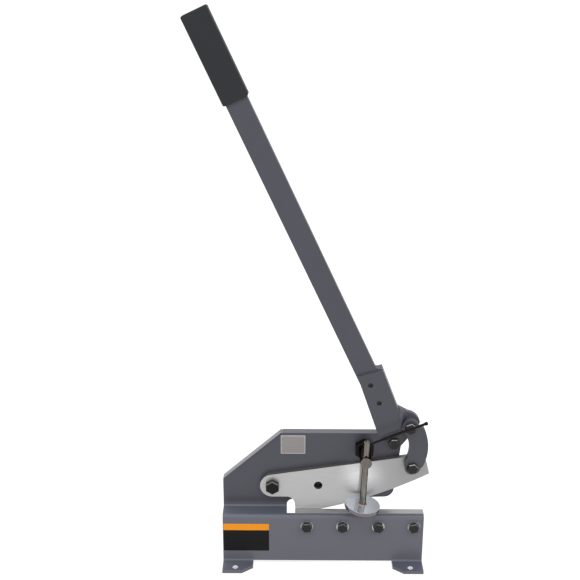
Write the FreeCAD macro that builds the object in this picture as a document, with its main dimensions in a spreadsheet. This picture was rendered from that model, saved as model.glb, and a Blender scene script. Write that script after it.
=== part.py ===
"""Bench plate shear worked by a long hand lever.

The frame is two bent plates bolted back to back, each with two feet. The front plate carries the
fixed blade, and the curved moving blade swings down behind it. X runs along the cut, Y away from the
user, Z up. The origin is on the floor at the centre of the four foot holes. Sizes in millimetres.
"""
import FreeCAD
import Part
import Sketcher

import math
import os

os.makedirs("parts", exist_ok=True)
doc = FreeCAD.newDocument("PlateShear")
sheet = doc.addObject("Spreadsheet::Sheet", "Sizes")


class Size:
    """A length or angle that keeps its formula beside its number."""

    def __init__(self, text, number):
        self.text = text
        self.number = number

    def _join(self, other, sign, number):
        """Join this formula to another one, or to a plain number."""
        tail = other.text if isinstance(other, Size) else repr(float(other))
        return Size("(" + self.text + " " + sign + " " + tail + ")", number)

    def __add__(self, other):
        return self._join(other, "+", self.number + amount(other))

    def __sub__(self, other):
        return self._join(other, "-", self.number - amount(other))

    def __mul__(self, other):
        return self._join(other, "*", self.number * amount(other))

    def __truediv__(self, other):
        return self._join(other, "/", self.number / amount(other))

    def __neg__(self):
        return Size("(0 - " + self.text + ")", -self.number)


def amount(value):
    """The plain number of a Size or of a number."""
    return value.number if isinstance(value, Size) else float(value)


def words(value):
    """The formula of a Size or of a number."""
    return value.text if isinstance(value, Size) else repr(float(value))


def cosine(angle):
    """Cosine of an angle given in degrees."""
    return Size("cos(" + words(angle) + " * 1deg)", math.cos(math.radians(amount(angle))))


def sine(angle):
    """Sine of an angle given in degrees."""
    return Size("sin(" + words(angle) + " * 1deg)", math.sin(math.radians(amount(angle))))


def root(value):
    """Square root of a size."""
    return Size("sqrt(" + words(value) + ")", math.sqrt(amount(value)))


TOUCH = 0.05
TINY = 1e-9
ARC_SLACK = 1.0001
row_count = 0


def cell(alias, number, note):
    """Write one driving size to the sheet and return it."""
    global row_count
    row_count += 1
    row = str(row_count)
    sheet.set("A" + row, alias)
    sheet.set("B" + row, str(number))
    sheet.set("C" + row, note)
    sheet.setAlias("B" + row, alias)
    return Size("Sizes." + alias, float(number))


# Frame plates.
plate_thick = cell("plate_thick", 7.0, "thickness of both frame plates")
base_length = cell("base_length", 332.0, "length of the frame along the cut")
base_top = cell("base_top", 92.0, "height of the step above the lower plate")
lip_drop = cell("lip_drop", 0.6, "lower plate's cut edge, below the step")
jog_depth = cell("jog_depth", 30.0, "how far each plate steps out from the upper part")
bend_radius = cell("bend_radius", 3.0, "inner radius of the bends")
outer_bend_radius = cell("outer_bend_radius", 6.5, "outer radius of the step's bend")
foot_width = cell("foot_width", 50.0, "width of a foot along the cut")
foot_depth = cell("foot_depth", 29.0, "reach of a foot from its plate")
foot_thick = cell("foot_thick", 5.6, "thickness of a foot")
foot_corner_run = cell("foot_corner_run", 18.0, "cut corner of a foot, along the cut")
foot_corner_deep = cell("foot_corner_deep", 14.0, "cut corner of a foot, in depth")
foot_hole_radius = cell("foot_hole_radius", 4.5, "radius of the floor bolt holes")
foot_hole_reach = cell("foot_hole_reach", 20.0, "floor bolt hole from its plate's outer face")
foot_hole_inset = cell("foot_hole_inset", 21.0, "floor bolt hole from the frame's end")
rail_top = cell("rail_top", 50.0, "height of the rear plate's low rail")
shoulder_rise = cell("shoulder_rise", 47.0, "upper plates' left end, above the step")
crest_inset = cell("crest_inset", 99.0, "left end to the top of the slope")
crest_rise = cell("crest_rise", 12.0, "top of the upper plates, above the lever pivot")
nose_reach = cell("nose_reach", 15.0, "upper plates' right end, right of the lever pivot")
nose_slant = cell("nose_slant", 13.0, "how far the right end leans in towards the jaw")
nose_corner = cell("nose_corner", 14.0, "radius of the upper right corner")
jaw_corner = cell("jaw_corner", 16.0, "radius of the lower right corner")
throat_place = cell("throat_place", 60.5, "throat edge, to the left of the centre")
throat_radius = cell("throat_radius", 11.0, "radius of the throat")
throat_height = cell("throat_height", 13.5, "roof of the throat above the step")
jaw_rise = cell("jaw_rise", 5.5, "rise of the jaw from the throat to the nose")

# Fixed blade and its bolts.
blade_shelf = cell("blade_shelf", 1.0, "fixed blade above the step")
fixed_thick = cell("fixed_thick", 13.0, "thickness of the fixed blade")
fixed_depth = cell("fixed_depth", 40.0, "height of the fixed blade's section")
fixed_start = cell("fixed_start", 46.5, "fixed blade's left end, left of the centre")
clamp_count = 4
clamp_first = cell("clamp_first", 19.5, "first blade bolt from the fixed blade's left end")
clamp_last = cell("clamp_last", 16.0, "last blade bolt from the fixed blade's right end")
clamp_drop = cell("clamp_drop", 19.5, "blade bolts, below the step")
clamp_radius = cell("clamp_radius", 5.0, "radius of the blade bolts")
clamp_washer_radius = cell("clamp_washer_radius", 10.2, "radius of their washers")
clamp_washer_thick = cell("clamp_washer_thick", 1.8, "thickness of their washers")
clamp_head_flats = cell("clamp_head_flats", 16.0, "head width across flats")
clamp_head_tall = cell("clamp_head_tall", 6.4, "height of their heads")
clamp_tip_gap = cell("clamp_tip_gap", 1.0, "bolt's tip, inside the fixed blade's back")

# Moving blade.
moving_thick = cell("moving_thick", 9.0, "thickness of the moving blade and lever plate")
slide_gap = cell("slide_gap", 0.5, "gap on each side of the moving blade")
blade_pin_left = cell("blade_pin_left", 84.0, "blade pivot, left of the centre")
blade_pin_rise = cell("blade_pin_rise", 44.0, "blade pivot, above the step")
blade_pin_radius = cell("blade_pin_radius", 8.0, "radius of the blade pivot")
blade_eye_radius = cell("blade_eye_radius", 20.5, "radius of the blade's rounded end")
blade_back_lean = cell("blade_back_lean", 8.0, "slope of the blade's back, in degrees")
heel_right = cell("heel_right", 24.5, "end of the straight heel, right of the pivot")
heel_radius = cell("heel_radius", 14.0, "radius of the heel's curve")
neck_right = cell("neck_right", 37.0, "neck, right of the pivot")
neck_drop = cell("neck_drop", 33.7, "neck, below the pivot")
tip_right = cell("tip_right", 42.0, "blade tip, right of the pivot")
tip_drop = cell("tip_drop", 51.0, "blade tip, below the pivot")
tip_flat = cell("tip_flat", 3.0, "flat at the blade's tip")
edge_end_right = cell("edge_end_right", 257.5, "cutting edge's end, right of the pivot")
edge_end_rise = cell("edge_end_rise", 24.5, "cutting edge's end, above the pivot")
edge_radius = cell("edge_radius", 700.0, "radius of the curved cutting edge")
blade_end_tall = cell("blade_end_tall", 16.0, "height of the blade's right end")
blade_end_lean = cell("blade_end_lean", 4.0, "how far the right end leans in")
blade_top_right = cell("blade_top_right", 234.0, "blade's top corner, right of the pivot")
blade_top_rise = cell("blade_top_rise", 57.5, "blade's top corner, above the pivot")
top_slope_run = cell("top_slope_run", 15.0, "length of the slope behind the top corner")
top_slope_drop = cell("top_slope_drop", 5.0, "fall of the slope behind the top corner")
blade_hole_radius = cell("blade_hole_radius", 7.0, "radius of the open hole in the blade")
blade_hole_right = cell("blade_hole_right", 75.4, "open hole, right of the pivot")
blade_hole_rise = cell("blade_hole_rise", 1.0, "open hole, above the pivot")
slot_left = cell("slot_left", 0.8, "slot's first centre, left of the link bolt")
slot_right = cell("slot_right", 13.0, "slot's last centre, right of the link bolt")
slot_lift = cell("slot_lift", 1.75, "slot's centre line, above the link bolt")
slot_play = cell("slot_play", 2.3, "play of the link bolt in the slot, up and down")

# Lever, link and their bolts.
lever_pin_back = cell("lever_pin_back", 36.5, "lever pivot, left of the blade's top corner")
lever_pin_rise = cell("lever_pin_rise", 23.5, "lever pivot, above the blade's top corner")
lever_eye_radius = cell("lever_eye_radius", 12.5, "radius of the lever round its pivot")
link_eye_back = cell("link_eye_back", 13.5, "radius of the lever round the link bolt")
link_pin_right = cell("link_pin_right", 24.5, "upper link bolt, right of the lever pivot")
link_pin_rise = cell("link_pin_rise", 33.5, "upper link bolt, above the lever pivot")
link_foot_back = cell("link_foot_back", 5.9, "lower link bolt, left of the blade's top corner")
link_foot_drop = cell("link_foot_drop", 16.2, "lower link bolt, below the blade's top corner")
lever_side_run = cell("lever_side_run", 16.0, "lever's right side, right of the link bolt")
lever_side_rise = cell("lever_side_rise", 4.0, "lever's right side, above the link bolt")
lever_brow_radius = cell("lever_brow_radius", 24.0, "radius of the lever's round brow")
lever_crown_back = cell("lever_crown_back", 3.6, "lever's crown, left of the link bolt")
lever_crown_rise = cell("lever_crown_rise", 22.2, "lever's crown, above the link bolt")
lever_step_back = cell("lever_step_back", 20.8, "foot of the socket's back, left of the link bolt")
lever_step_rise = cell("lever_step_rise", 31.5, "foot of the socket's back, above the link bolt")
link_thick = cell("link_thick", 10.0, "thickness of the link")
link_top_radius = cell("link_top_radius", 13.5, "radius of the link's upper eye")
link_foot_radius = cell("link_foot_radius", 12.8, "radius of the link's lower eye")
link_inner_radius = cell("link_inner_radius", 52.0, "radius of the link's hollow side")
link_inner_run = cell("link_inner_run", 9.3, "hollow side's top, left of the upper bolt")
link_inner_drop = cell("link_inner_drop", 10.0, "hollow side's top, below the upper bolt")
link_inner_rise = cell("link_inner_rise", 10.0, "hollow side's end, above the lower bolt")
link_outer_radius = cell("link_outer_radius", 76.0, "radius of the link's bowed side")
link_outer_run = cell("link_outer_run", 16.4, "bowed side's end, right of the lower bolt")
link_outer_rise = cell("link_outer_rise", 12.0, "bowed side's end, above the lower bolt")
link_outer_top = cell("link_outer_top", 2.0, "bowed side's top, above the upper bolt")
joint_bolt_radius = cell("joint_bolt_radius", 6.0, "radius of the lever and upper link bolts")
foot_bolt_radius = cell("foot_bolt_radius", 5.0, "radius of the lower link bolt")
joint_head_flats = cell("joint_head_flats", 17.0, "their head width across flats")
joint_head_tall = cell("joint_head_tall", 6.8, "height of their heads")
joint_nut_tall = cell("joint_nut_tall", 8.0, "height of their nuts")
pivot_head_flats = cell("pivot_head_flats", 21.0, "blade pivot head across flats")
pivot_head_tall = cell("pivot_head_tall", 8.4, "height of the blade pivot head")
head_chamfer = cell("head_chamfer", 1.1, "chamfer round the front of a head or nut")
thread_end = cell("thread_end", 3.0, "bolt beyond its nut")
running_gap = cell("running_gap", 0.06, "radial clearance of a bolt in a turning eye")
face_gap = cell("face_gap", 0.3, "gap beside a turning piece")

# Handle.
handle_lean = cell("handle_lean", 25.0, "lean of the handle to the left, in degrees")
handle_wide = cell("handle_wide", 33.6, "width of the handle bar")
handle_deep = cell("handle_deep", 12.0, "thickness of the handle bar")
handle_foot_left = cell("handle_foot_left", 18.6, "bar's lower end, left of the lever pivot")
handle_foot_rise = cell("handle_foot_rise", 63.8, "bar's lower end, above the lever pivot")
handle_long = cell("handle_long", 660.0, "length of the handle bar")
grip_long = cell("grip_long", 136.6, "length of the grip")
grip_wide = cell("grip_wide", 40.2, "width of the grip")
grip_deep = cell("grip_deep", 19.0, "thickness of the grip")
grip_cap = cell("grip_cap", 16.4, "grip beyond the end of the bar")
grip_round = cell("grip_round", 3.0, "radius of the grip's corners")
socket_plate = cell("socket_plate", 5.0, "thickness of the socket's front plate")
socket_lean = cell("socket_lean", 19.2, "lean of the socket's left edge, in degrees")
socket_foot_left = cell("socket_foot_left", 26.7, "socket's lower corner, left of the pivot")
socket_foot_rise = cell("socket_foot_rise", 20.0, "socket's lower corner, above the pivot")
socket_long = cell("socket_long", 111.0, "length of the socket's left edge")
socket_wide = cell("socket_wide", 41.0, "width of the socket at its mouth")
mouth_lean = cell("mouth_lean", 15.0, "rise of the socket's mouth to the right, in degrees")
socket_low_back = cell("socket_low_back", 18.5, "socket's low right corner, left of the link bolt")
socket_low_rise = cell("socket_low_rise", 1.0, "socket's low right corner, above the link bolt")
socket_side_back = cell("socket_side_back", 19.2, "socket's right side, left of the link bolt")
socket_side_rise = cell("socket_side_rise", 28.0, "socket's right side, above the link bolt")
screw_radius = cell("screw_radius", 4.0, "radius of the two set screw holes")
screw_low = cell("screw_low", 18.0, "lower set screw, along the bar from its lower end")
screw_high = cell("screw_high", 52.0, "upper set screw, along the bar from its lower end")
screw_left = cell("screw_left", 2.0, "set screws, left of the bar's middle")
screw_sink = cell("screw_sink", 2.5, "set screws below the socket's face")
screw_gap = cell("screw_gap", 0.05, "radial clearance of the set screws")

# Hold-down.
stud_back = cell("stud_back", 47.5, "hold-down stud, left of the lever pivot")
stud_rise = cell("stud_rise", 9.5, "hold-down stud, above the blade's top corner")
stud_radius = cell("stud_radius", 9.3, "radius of the hold-down stud")
stud_reach = cell("stud_reach", 53.0, "stud in front of the upper plates")
stud_tail = cell("stud_tail", 13.0, "stud behind the upper plates")
lock_flats = cell("lock_flats", 29.0, "lock nuts' width across flats")
lock_tall = cell("lock_tall", 13.0, "height of the front lock nut")
rear_nut_tall = cell("rear_nut_tall", 10.0, "height of the rear lock nut")
spindle_radius = cell("spindle_radius", 5.1, "radius of the spindle")
spindle_front = cell("spindle_front", 43.5, "spindle in front of the upper plates")
spindle_lean = cell("spindle_lean", 2.3, "lean of the spindle to the right, in degrees")
spindle_up = cell("spindle_up", 33.6, "spindle above the stud's axis")
spindle_down = cell("spindle_down", 79.7, "stud's axis to the top of the disc")
disc_radius = cell("disc_radius", 28.7, "radius of the pressure disc")
disc_thick = cell("disc_thick", 6.5, "thickness of the pressure disc")
bar_radius = cell("bar_radius", 2.2, "radius of the turning bar")
bar_long = cell("bar_long", 108.6, "length of the turning bar")
bar_lean = cell("bar_lean", 22.8, "rise of the turning bar to the right, in degrees")
bar_drop = cell("bar_drop", 5.6, "turning bar below the spindle's top")
bar_back = cell("bar_back", 6.0, "turning bar's end to the spindle's axis")
doc.recompute()

ZERO = Size("0", 0.0)
OVERLAP = 1.0
HEX_SIDES = 6
CORNER_PER_FLAT = 1.0 / math.sqrt(3.0)

half_length = base_length / 2
outer_reach = plate_thick + jog_depth
front_face = -outer_reach
step_low = base_top - plate_thick
shear_plane = fixed_thick - jog_depth
moving_front = shear_plane + slide_gap
moving_back = moving_front + moving_thick
blade_x = -blade_pin_left
blade_z = base_top + blade_pin_rise
blade_top_x = blade_x + blade_top_right
blade_top_z = blade_z + blade_top_rise
lever_x = blade_top_x - lever_pin_back
lever_z = blade_top_z + lever_pin_rise
link_x = lever_x + link_pin_right
link_z = lever_z + link_pin_rise
link_low_x = blade_top_x - link_foot_back
link_low_z = blade_top_z - link_foot_drop
link_back = shear_plane
link_front = link_back - link_thick
stud_x = lever_x - stud_back
stud_z = blade_top_z + stud_rise
clamp_z = base_top - clamp_drop
clamp_pitch = (half_length + fixed_start - clamp_first - clamp_last) / (clamp_count - 1)
clamp_places = [clamp_pitch * step - fixed_start + clamp_first for step in range(clamp_count)]


def bind(target, path, value):
    """Drive one property of an object by a formula."""
    target.setExpression(path, words(value))


def origin_plane(body, role):
    """The body's own origin plane of the given role."""
    return next(item for item in body.Origin.OriginFeatures if item.Role == role)


def new_body(label):
    """A PartDesign body with a label and a placement."""
    body = doc.addObject("PartDesign::Body", label)
    body.Label = label
    body.Placement = FreeCAD.Placement()
    return body


def new_sketch(body, name, role, offset):
    """A sketch on an origin plane, moved along the plane's normal."""
    sketch = body.newObject("Sketcher::SketchObject", name)
    sketch.AttachmentSupport = [(origin_plane(body, role), "")]
    sketch.MapMode = "FlatFace"
    sketch.AttachmentOffset = FreeCAD.Placement(
        FreeCAD.Vector(0, 0, amount(offset)), FreeCAD.Rotation()
    )
    bind(sketch, "AttachmentOffset.Base.z", offset)
    return sketch


def hold(sketch, kind, geometry, point, value):
    """Hold one point's distance from the origin along one axis."""
    size = amount(value)
    if abs(size) < TINY and not isinstance(value, Size):
        axis = -2 if kind == "DistanceX" else -1
        sketch.addConstraint(Sketcher.Constraint("PointOnObject", geometry, point, axis))
        return
    if size >= 0:
        number = sketch.addConstraint(
            Sketcher.Constraint(kind, -1, 1, geometry, point, size)
        )
        formula = words(value)
    else:
        number = sketch.addConstraint(
            Sketcher.Constraint(kind, geometry, point, -1, 1, -size)
        )
        formula = "-(" + words(value) + ")"
    sketch.setExpression("Constraints[" + str(number) + "]", formula)


def add_side(sketch, start, end, radius):
    """Add a straight side, or a round one when a radius is given, and name its end points."""
    first = FreeCAD.Vector(amount(start[0]), amount(start[1]), 0)
    last = FreeCAD.Vector(amount(end[0]), amount(end[1]), 0)
    if radius is None:
        line = sketch.addGeometry(Part.LineSegment(first, last), False)
        return line, 1, 2
    size = abs(amount(radius))
    chord = last - first
    rise = math.sqrt(max(size * size - chord.Length ** 2 / 4.0, 0.0))
    left = FreeCAD.Vector(-chord.y, chord.x, 0).normalize()
    turn = 1.0 if amount(radius) > 0 else -1.0
    centre = (first + last) * 0.5 + left * (rise * turn)
    begin, finish = (first, last) if turn > 0 else (last, first)
    low = math.atan2(begin.y - centre.y, begin.x - centre.x)
    high = math.atan2(finish.y - centre.y, finish.x - centre.x)
    if high < low:
        high += 2.0 * math.pi
    circle = Part.Circle(centre, FreeCAD.Vector(0, 0, 1), size)
    arc = sketch.addGeometry(Part.ArcOfCircle(circle, low, high), False)
    number = sketch.addConstraint(Sketcher.Constraint("Radius", arc, size))
    sketch.setExpression("Constraints[" + str(number) + "]", "abs(" + words(radius) + ")")
    return (arc, 1, 2) if turn > 0 else (arc, 2, 1)


def outline(sketch, corners):
    """Draw a closed outline. A corner is (x, y) or (x, y, radius of the side that follows it)."""
    sides = []
    for index, corner in enumerate(corners):
        after = corners[(index + 1) % len(corners)]
        radius = corner[2] if len(corner) > 2 else None
        sides.append(add_side(sketch, corner, after, radius))
    for index, side in enumerate(sides):
        geometry, start, end = side
        following = sides[(index + 1) % len(sides)]
        sketch.addConstraint(
            Sketcher.Constraint("Coincident", geometry, end, following[0], following[1])
        )
    for side, corner in zip(sides, corners):
        hold(sketch, "DistanceX", side[0], side[1], corner[0])
        hold(sketch, "DistanceY", side[0], side[1], corner[1])


def ring(sketch, x, y, radius):
    """Draw a circle about a held centre."""
    centre = FreeCAD.Vector(amount(x), amount(y), 0)
    circle = sketch.addGeometry(
        Part.Circle(centre, FreeCAD.Vector(0, 0, 1), amount(radius)), False
    )
    number = sketch.addConstraint(Sketcher.Constraint("Radius", circle, amount(radius)))
    sketch.setExpression("Constraints[" + str(number) + "]", words(radius))
    hold(sketch, "DistanceX", circle, 3, x)
    hold(sketch, "DistanceY", circle, 3, y)


def slab(body, name, corners, front, back):
    """Add a plate that faces the user, between two depths."""
    sketch = new_sketch(body, name + "_outline", "XZ_Plane", -back)
    outline(sketch, corners)
    pad = body.newObject("PartDesign::Pad", name)
    pad.Profile = sketch
    pad.Length = amount(back - front)
    bind(pad, "Length", back - front)
    return pad


def disc(body, name, rings, front, back):
    """Add round bosses that face the user, between two depths."""
    sketch = new_sketch(body, name + "_outline", "XZ_Plane", -back)
    for x, y, radius in rings:
        ring(sketch, x, y, radius)
    pad = body.newObject("PartDesign::Pad", name)
    pad.Profile = sketch
    pad.Length = amount(back - front)
    bind(pad, "Length", back - front)
    return pad


def cut_through(body, name, sketch, deep, backwards):
    """Cut a sketch's outline out of a body, and stop if nothing was removed."""
    doc.recompute()
    before = body.Shape.Volume
    cut = body.newObject("PartDesign::Pocket", name)
    cut.Profile = sketch
    cut.Reversed = backwards
    cut.Length = amount(deep)
    bind(cut, "Length", deep)
    doc.recompute()
    if body.Shape.Volume >= before:
        raise RuntimeError(name + " removed nothing")
    return cut


def bore(body, name, rings, front, back):
    """Cut round holes from a front depth to a back depth."""
    sketch = new_sketch(body, name + "_outline", "XZ_Plane", -back)
    for x, y, radius in rings:
        ring(sketch, x, y, radius)
    return cut_through(body, name, sketch, back - front, True)


def floor_slab(body, name, corners, low, high):
    """Add a flat plate that lies level, between two heights."""
    sketch = new_sketch(body, name + "_outline", "XY_Plane", low)
    outline(sketch, corners)
    pad = body.newObject("PartDesign::Pad", name)
    pad.Profile = sketch
    pad.Length = amount(high - low)
    bind(pad, "Length", high - low)
    return pad


def edges_where(shape, test):
    """Names of the straight or round edges whose end points pass the test."""
    names = []
    for index, edge in enumerate(shape.Edges):
        points = [vertex.Point for vertex in edge.Vertexes]
        if len(points) == 2 and test(points[0], points[1]):
            names.append("Edge" + str(index + 1))
    return names


def near(value, size):
    """Whether a coordinate is at a size."""
    return abs(value - amount(size)) < TOUCH


def round_edges(body, name, base, radius, test):
    """Round the edges of a feature that pass the test."""
    doc.recompute()
    names = edges_where(base.Shape, test)
    if not names:
        raise RuntimeError(name + " found no edge")
    fillet = body.newObject("PartDesign::Fillet", name)
    fillet.Base = (base, names)
    fillet.Radius = amount(radius)
    bind(fillet, "Radius", radius)
    doc.recompute()
    return fillet


def break_edges(body, name, base, size, depth):
    """Chamfer the edges of a feature that lie at one depth."""
    doc.recompute()
    names = edges_where(base.Shape, lambda p, q: near(p.y, depth) and near(q.y, depth))
    chamfer = body.newObject("PartDesign::Chamfer", name)
    chamfer.Base = (base, names)
    chamfer.Size = amount(size)
    bind(chamfer, "Size", size)
    doc.recompute()


def upper_outline():
    """Outline of the upper part of both frame plates."""
    roof = base_top + throat_height
    throat_x = -throat_place
    crest = lever_z + crest_rise
    nose_x = lever_x + nose_reach
    return [
        (-half_length, step_low),
        (throat_x, step_low),
        (throat_x, roof - throat_radius, -throat_radius),
        (throat_x + throat_radius, roof),
        (nose_x - nose_slant, roof + jaw_rise),
        (nose_x, crest),
        (-half_length + crest_inset, crest),
        (-half_length, base_top + shoulder_rise),
    ]


def frame_plate(label, side, right_top):
    """One bent frame plate. Side is -1 for the front plate and 1 for the rear one."""
    body = new_body(label)
    outer = outer_reach * side
    wall = jog_depth * side
    skin = plate_thick * side
    toe = (outer_reach + foot_depth) * side
    corner_y = (outer_reach + foot_depth - foot_corner_deep) * side
    throat_x = -throat_place
    upper = (skin, ZERO) if side < 0 else (ZERO, skin)
    lower = (outer, wall) if side < 0 else (wall, outer)
    slab(body, label + "_upper", upper_outline(), *upper)
    floor_slab(
        body,
        label + "_step",
        [(-half_length, 0.0), (throat_x, 0.0), (throat_x, outer), (-half_length, outer)],
        step_low,
        base_top,
    )
    foot_in = half_length - foot_width
    slab(
        body,
        label + "_lower",
        [
            (-half_length, 0.0),
            (-foot_in, 0.0),
            (-foot_in, foot_thick),
            (foot_in, foot_thick),
            (foot_in, 0.0),
            (half_length, 0.0),
            (half_length, right_top),
            (throat_x, right_top),
            (throat_x, base_top),
            (-half_length, base_top),
        ],
        *lower,
    )
    for name, hand in (("left", -1.0), ("right", 1.0)):
        floor_slab(
            body,
            label + "_foot_" + name,
            [
                (half_length * hand, wall),
                (half_length * hand, toe),
                ((foot_in + foot_corner_run) * hand, toe),
                (foot_in * hand, corner_y),
                (foot_in * hand, wall),
            ],
            ZERO,
            foot_thick,
        )
    hole_x = half_length - foot_hole_inset
    hole_y = (outer_reach + foot_hole_reach) * side
    sketch = new_sketch(body, label + "_floor_holes_outline", "XY_Plane", foot_thick)
    ring(sketch, hole_x, hole_y, foot_hole_radius)
    ring(sketch, -hole_x, hole_y, foot_hole_radius)
    cut_through(body, label + "_floor_holes", sketch, foot_thick + OVERLAP, False)
    bore(
        body,
        label + "_upper_holes",
        [
            (blade_x, blade_z, blade_pin_radius),
            (lever_x, lever_z, joint_bolt_radius),
            (stud_x, stud_z, stud_radius + running_gap),
        ],
        upper[0] - OVERLAP,
        upper[1] + OVERLAP,
    )
    last = body.Tip
    if side < 0:
        last = bore(
            body,
            label + "_blade_holes",
            [(x, clamp_z, clamp_radius) for x in clamp_places],
            lower[0] - OVERLAP,
            lower[1] + OVERLAP,
        )
    crest = lever_z + crest_rise
    jaw_end = base_top + throat_height + jaw_rise
    last = round_edges(
        body,
        label + "_nose",
        last,
        nose_corner,
        lambda p, q: runs_deep(p, q) and near(p.x, lever_x + nose_reach) and near(p.z, crest),
    )
    last = round_edges(
        body,
        label + "_jaw_corner",
        last,
        jaw_corner,
        lambda p, q: runs_deep(p, q)
        and near(p.x, lever_x + nose_reach - nose_slant)
        and near(p.z, jaw_end),
    )
    last = round_edges(
        body,
        label + "_outer_bend",
        last,
        outer_bend_radius,
        lambda p, q: runs_along(p, q) and at_line(p, outer, base_top),
    )
    body.Tip = round_edges(
        body,
        label + "_inner_bends",
        last,
        bend_radius,
        lambda p, q: runs_along(p, q)
        and (
            at_line(p, wall, step_low)
            or at_line(p, skin, base_top)
            or (at_line(p, outer, foot_thick) and max(abs(p.x), abs(q.x)) > amount(foot_in) + 1.0)
        ),
    )


def runs_deep(first, last):
    """Whether an edge runs along the depth only."""
    return abs(first.x - last.x) < TOUCH and abs(first.z - last.z) < TOUCH


def runs_along(first, last):
    """Whether a straight edge runs along the cut only."""
    return abs(first.y - last.y) < TOUCH and abs(first.z - last.z) < TOUCH


def at_line(point, y, z):
    """Whether a point lies on the line along the cut at a depth and a height."""
    return near(point.y, y) and near(point.z, z)


frame_plate("front_frame_plate", -1.0, base_top - lip_drop)
frame_plate("rear_frame_plate", 1.0, rail_top)


def fixed_blade():
    """The fixed blade: a ground bar bolted to the back of the lower plate."""
    body = new_body("fixed_blade")
    top = base_top + blade_shelf
    front = -jog_depth
    slab(
        body,
        "fixed_blade_bar",
        [
            (-fixed_start, top - fixed_depth),
            (half_length, top - fixed_depth),
            (half_length, top),
            (-fixed_start, top),
        ],
        front,
        shear_plane,
    )
    doc.recompute()
    body.Tip = bore(
        body,
        "fixed_blade_holes",
        [(x, clamp_z, clamp_radius) for x in clamp_places],
        front - OVERLAP,
        shear_plane + OVERLAP,
    )


fixed_blade()


def moving_blade():
    """The moving blade: a rounded eye, a hooked neck and a long convex cutting edge."""
    body = new_body("moving_blade")
    eye = blade_eye_radius
    slab(
        body,
        "moving_blade_plate",
        [
            (blade_x, blade_z - eye),
            (blade_x + heel_right, blade_z - eye, -heel_radius),
            (blade_x + neck_right, blade_z - neck_drop),
            (blade_x + tip_right - tip_flat, blade_z - tip_drop),
            (blade_x + tip_right, blade_z - tip_drop, edge_radius),
            (blade_x + edge_end_right, blade_z + edge_end_rise),
            (
                blade_x + edge_end_right - blade_end_lean,
                blade_z + edge_end_rise + blade_end_tall,
            ),
            (blade_top_x + top_slope_run, blade_top_z - top_slope_drop),
            (blade_top_x, blade_top_z),
            (blade_x - sine(blade_back_lean) * eye, blade_z + cosine(blade_back_lean) * eye),
        ],
        moving_front,
        moving_back,
    )
    disc(body, "moving_blade_eye", [(blade_x, blade_z, eye)], moving_front, moving_back)
    doc.recompute()
    bore(
        body,
        "moving_blade_holes",
        [
            (blade_x, blade_z, blade_pin_radius + running_gap),
            (blade_x + blade_hole_right, blade_z + blade_hole_rise, blade_hole_radius),
        ],
        moving_front - OVERLAP,
        moving_back + OVERLAP,
    )
    sketch = new_sketch(body, "moving_blade_slot_outline", "XZ_Plane", -(moving_back + OVERLAP))
    half = foot_bolt_radius + slot_play
    left = link_low_x - slot_left
    right = link_low_x + slot_right
    middle = link_low_z + slot_lift
    outline(
        sketch,
        [
            (left, middle - half),
            (right, middle - half, half * ARC_SLACK),
            (right, middle + half),
            (left, middle + half, half * ARC_SLACK),
        ],
    )
    deep = moving_thick + OVERLAP * 2
    body.Tip = cut_through(body, "moving_blade_slot", sketch, deep, True)


moving_blade()


def bar_corner(along, across):
    """A point of the handle, measured along and across it from the bar's lower end."""
    x = lever_x - handle_foot_left - sine(handle_lean) * along + cosine(handle_lean) * across
    z = lever_z + handle_foot_rise + cosine(handle_lean) * along
    return x, z + sine(handle_lean) * across


def socket_corner(along):
    """A point of the socket's left edge, measured up from its lower corner."""
    x = lever_x - socket_foot_left - sine(socket_lean) * along
    return x, lever_z + socket_foot_rise + cosine(socket_lean) * along


def mouth_right():
    """The right end of the socket's mouth."""
    left_x, left_z = socket_corner(socket_long)
    return left_x + cosine(mouth_lean) * socket_wide, left_z + sine(mouth_lean) * socket_wide


def lever_plate():
    """The lever plate: an eye at its pivot, an eye at the link and a wide back for the handle."""
    body = new_body("lever_plate")
    slant = root(link_pin_right * link_pin_right + link_pin_rise * link_pin_rise)
    across_x = link_pin_rise / slant
    across_z = link_pin_right / slant
    eye = lever_eye_radius
    slab(
        body,
        "lever_back",
        [
            (lever_x - eye * across_x, lever_z + eye * across_z),
            (lever_x + eye * across_x, lever_z - eye * across_z),
            (link_x + link_eye_back * across_x, link_z - link_eye_back * across_z),
            (link_x + lever_side_run, link_z + lever_side_rise, lever_brow_radius),
            (link_x - lever_crown_back, link_z + lever_crown_rise),
            (link_x - lever_step_back, link_z + lever_step_rise),
            mouth_right(),
            socket_corner(socket_long),
            socket_corner(ZERO),
        ],
        moving_front,
        moving_back,
    )
    disc(body, "lever_pivot_eye", [(lever_x, lever_z, eye)], moving_front, moving_back)
    disc(body, "lever_link_eye", [(link_x, link_z, link_eye_back)], moving_front, moving_back)
    doc.recompute()
    body.Tip = bore(
        body,
        "lever_holes",
        [
            (lever_x, lever_z, joint_bolt_radius + running_gap),
            (link_x, link_z, joint_bolt_radius),
        ],
        moving_front - OVERLAP,
        moving_back + OVERLAP,
    )


lever_plate()


def handle_mouth():
    """Height of the socket's mouth along the bar, from the bar's lower end."""
    mouth = socket_corner(socket_long)
    run_x = lever_x - handle_foot_left - mouth[0]
    run_z = mouth[1] - lever_z - handle_foot_rise
    return run_x * sine(handle_lean) + run_z * cosine(handle_lean)


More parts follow.
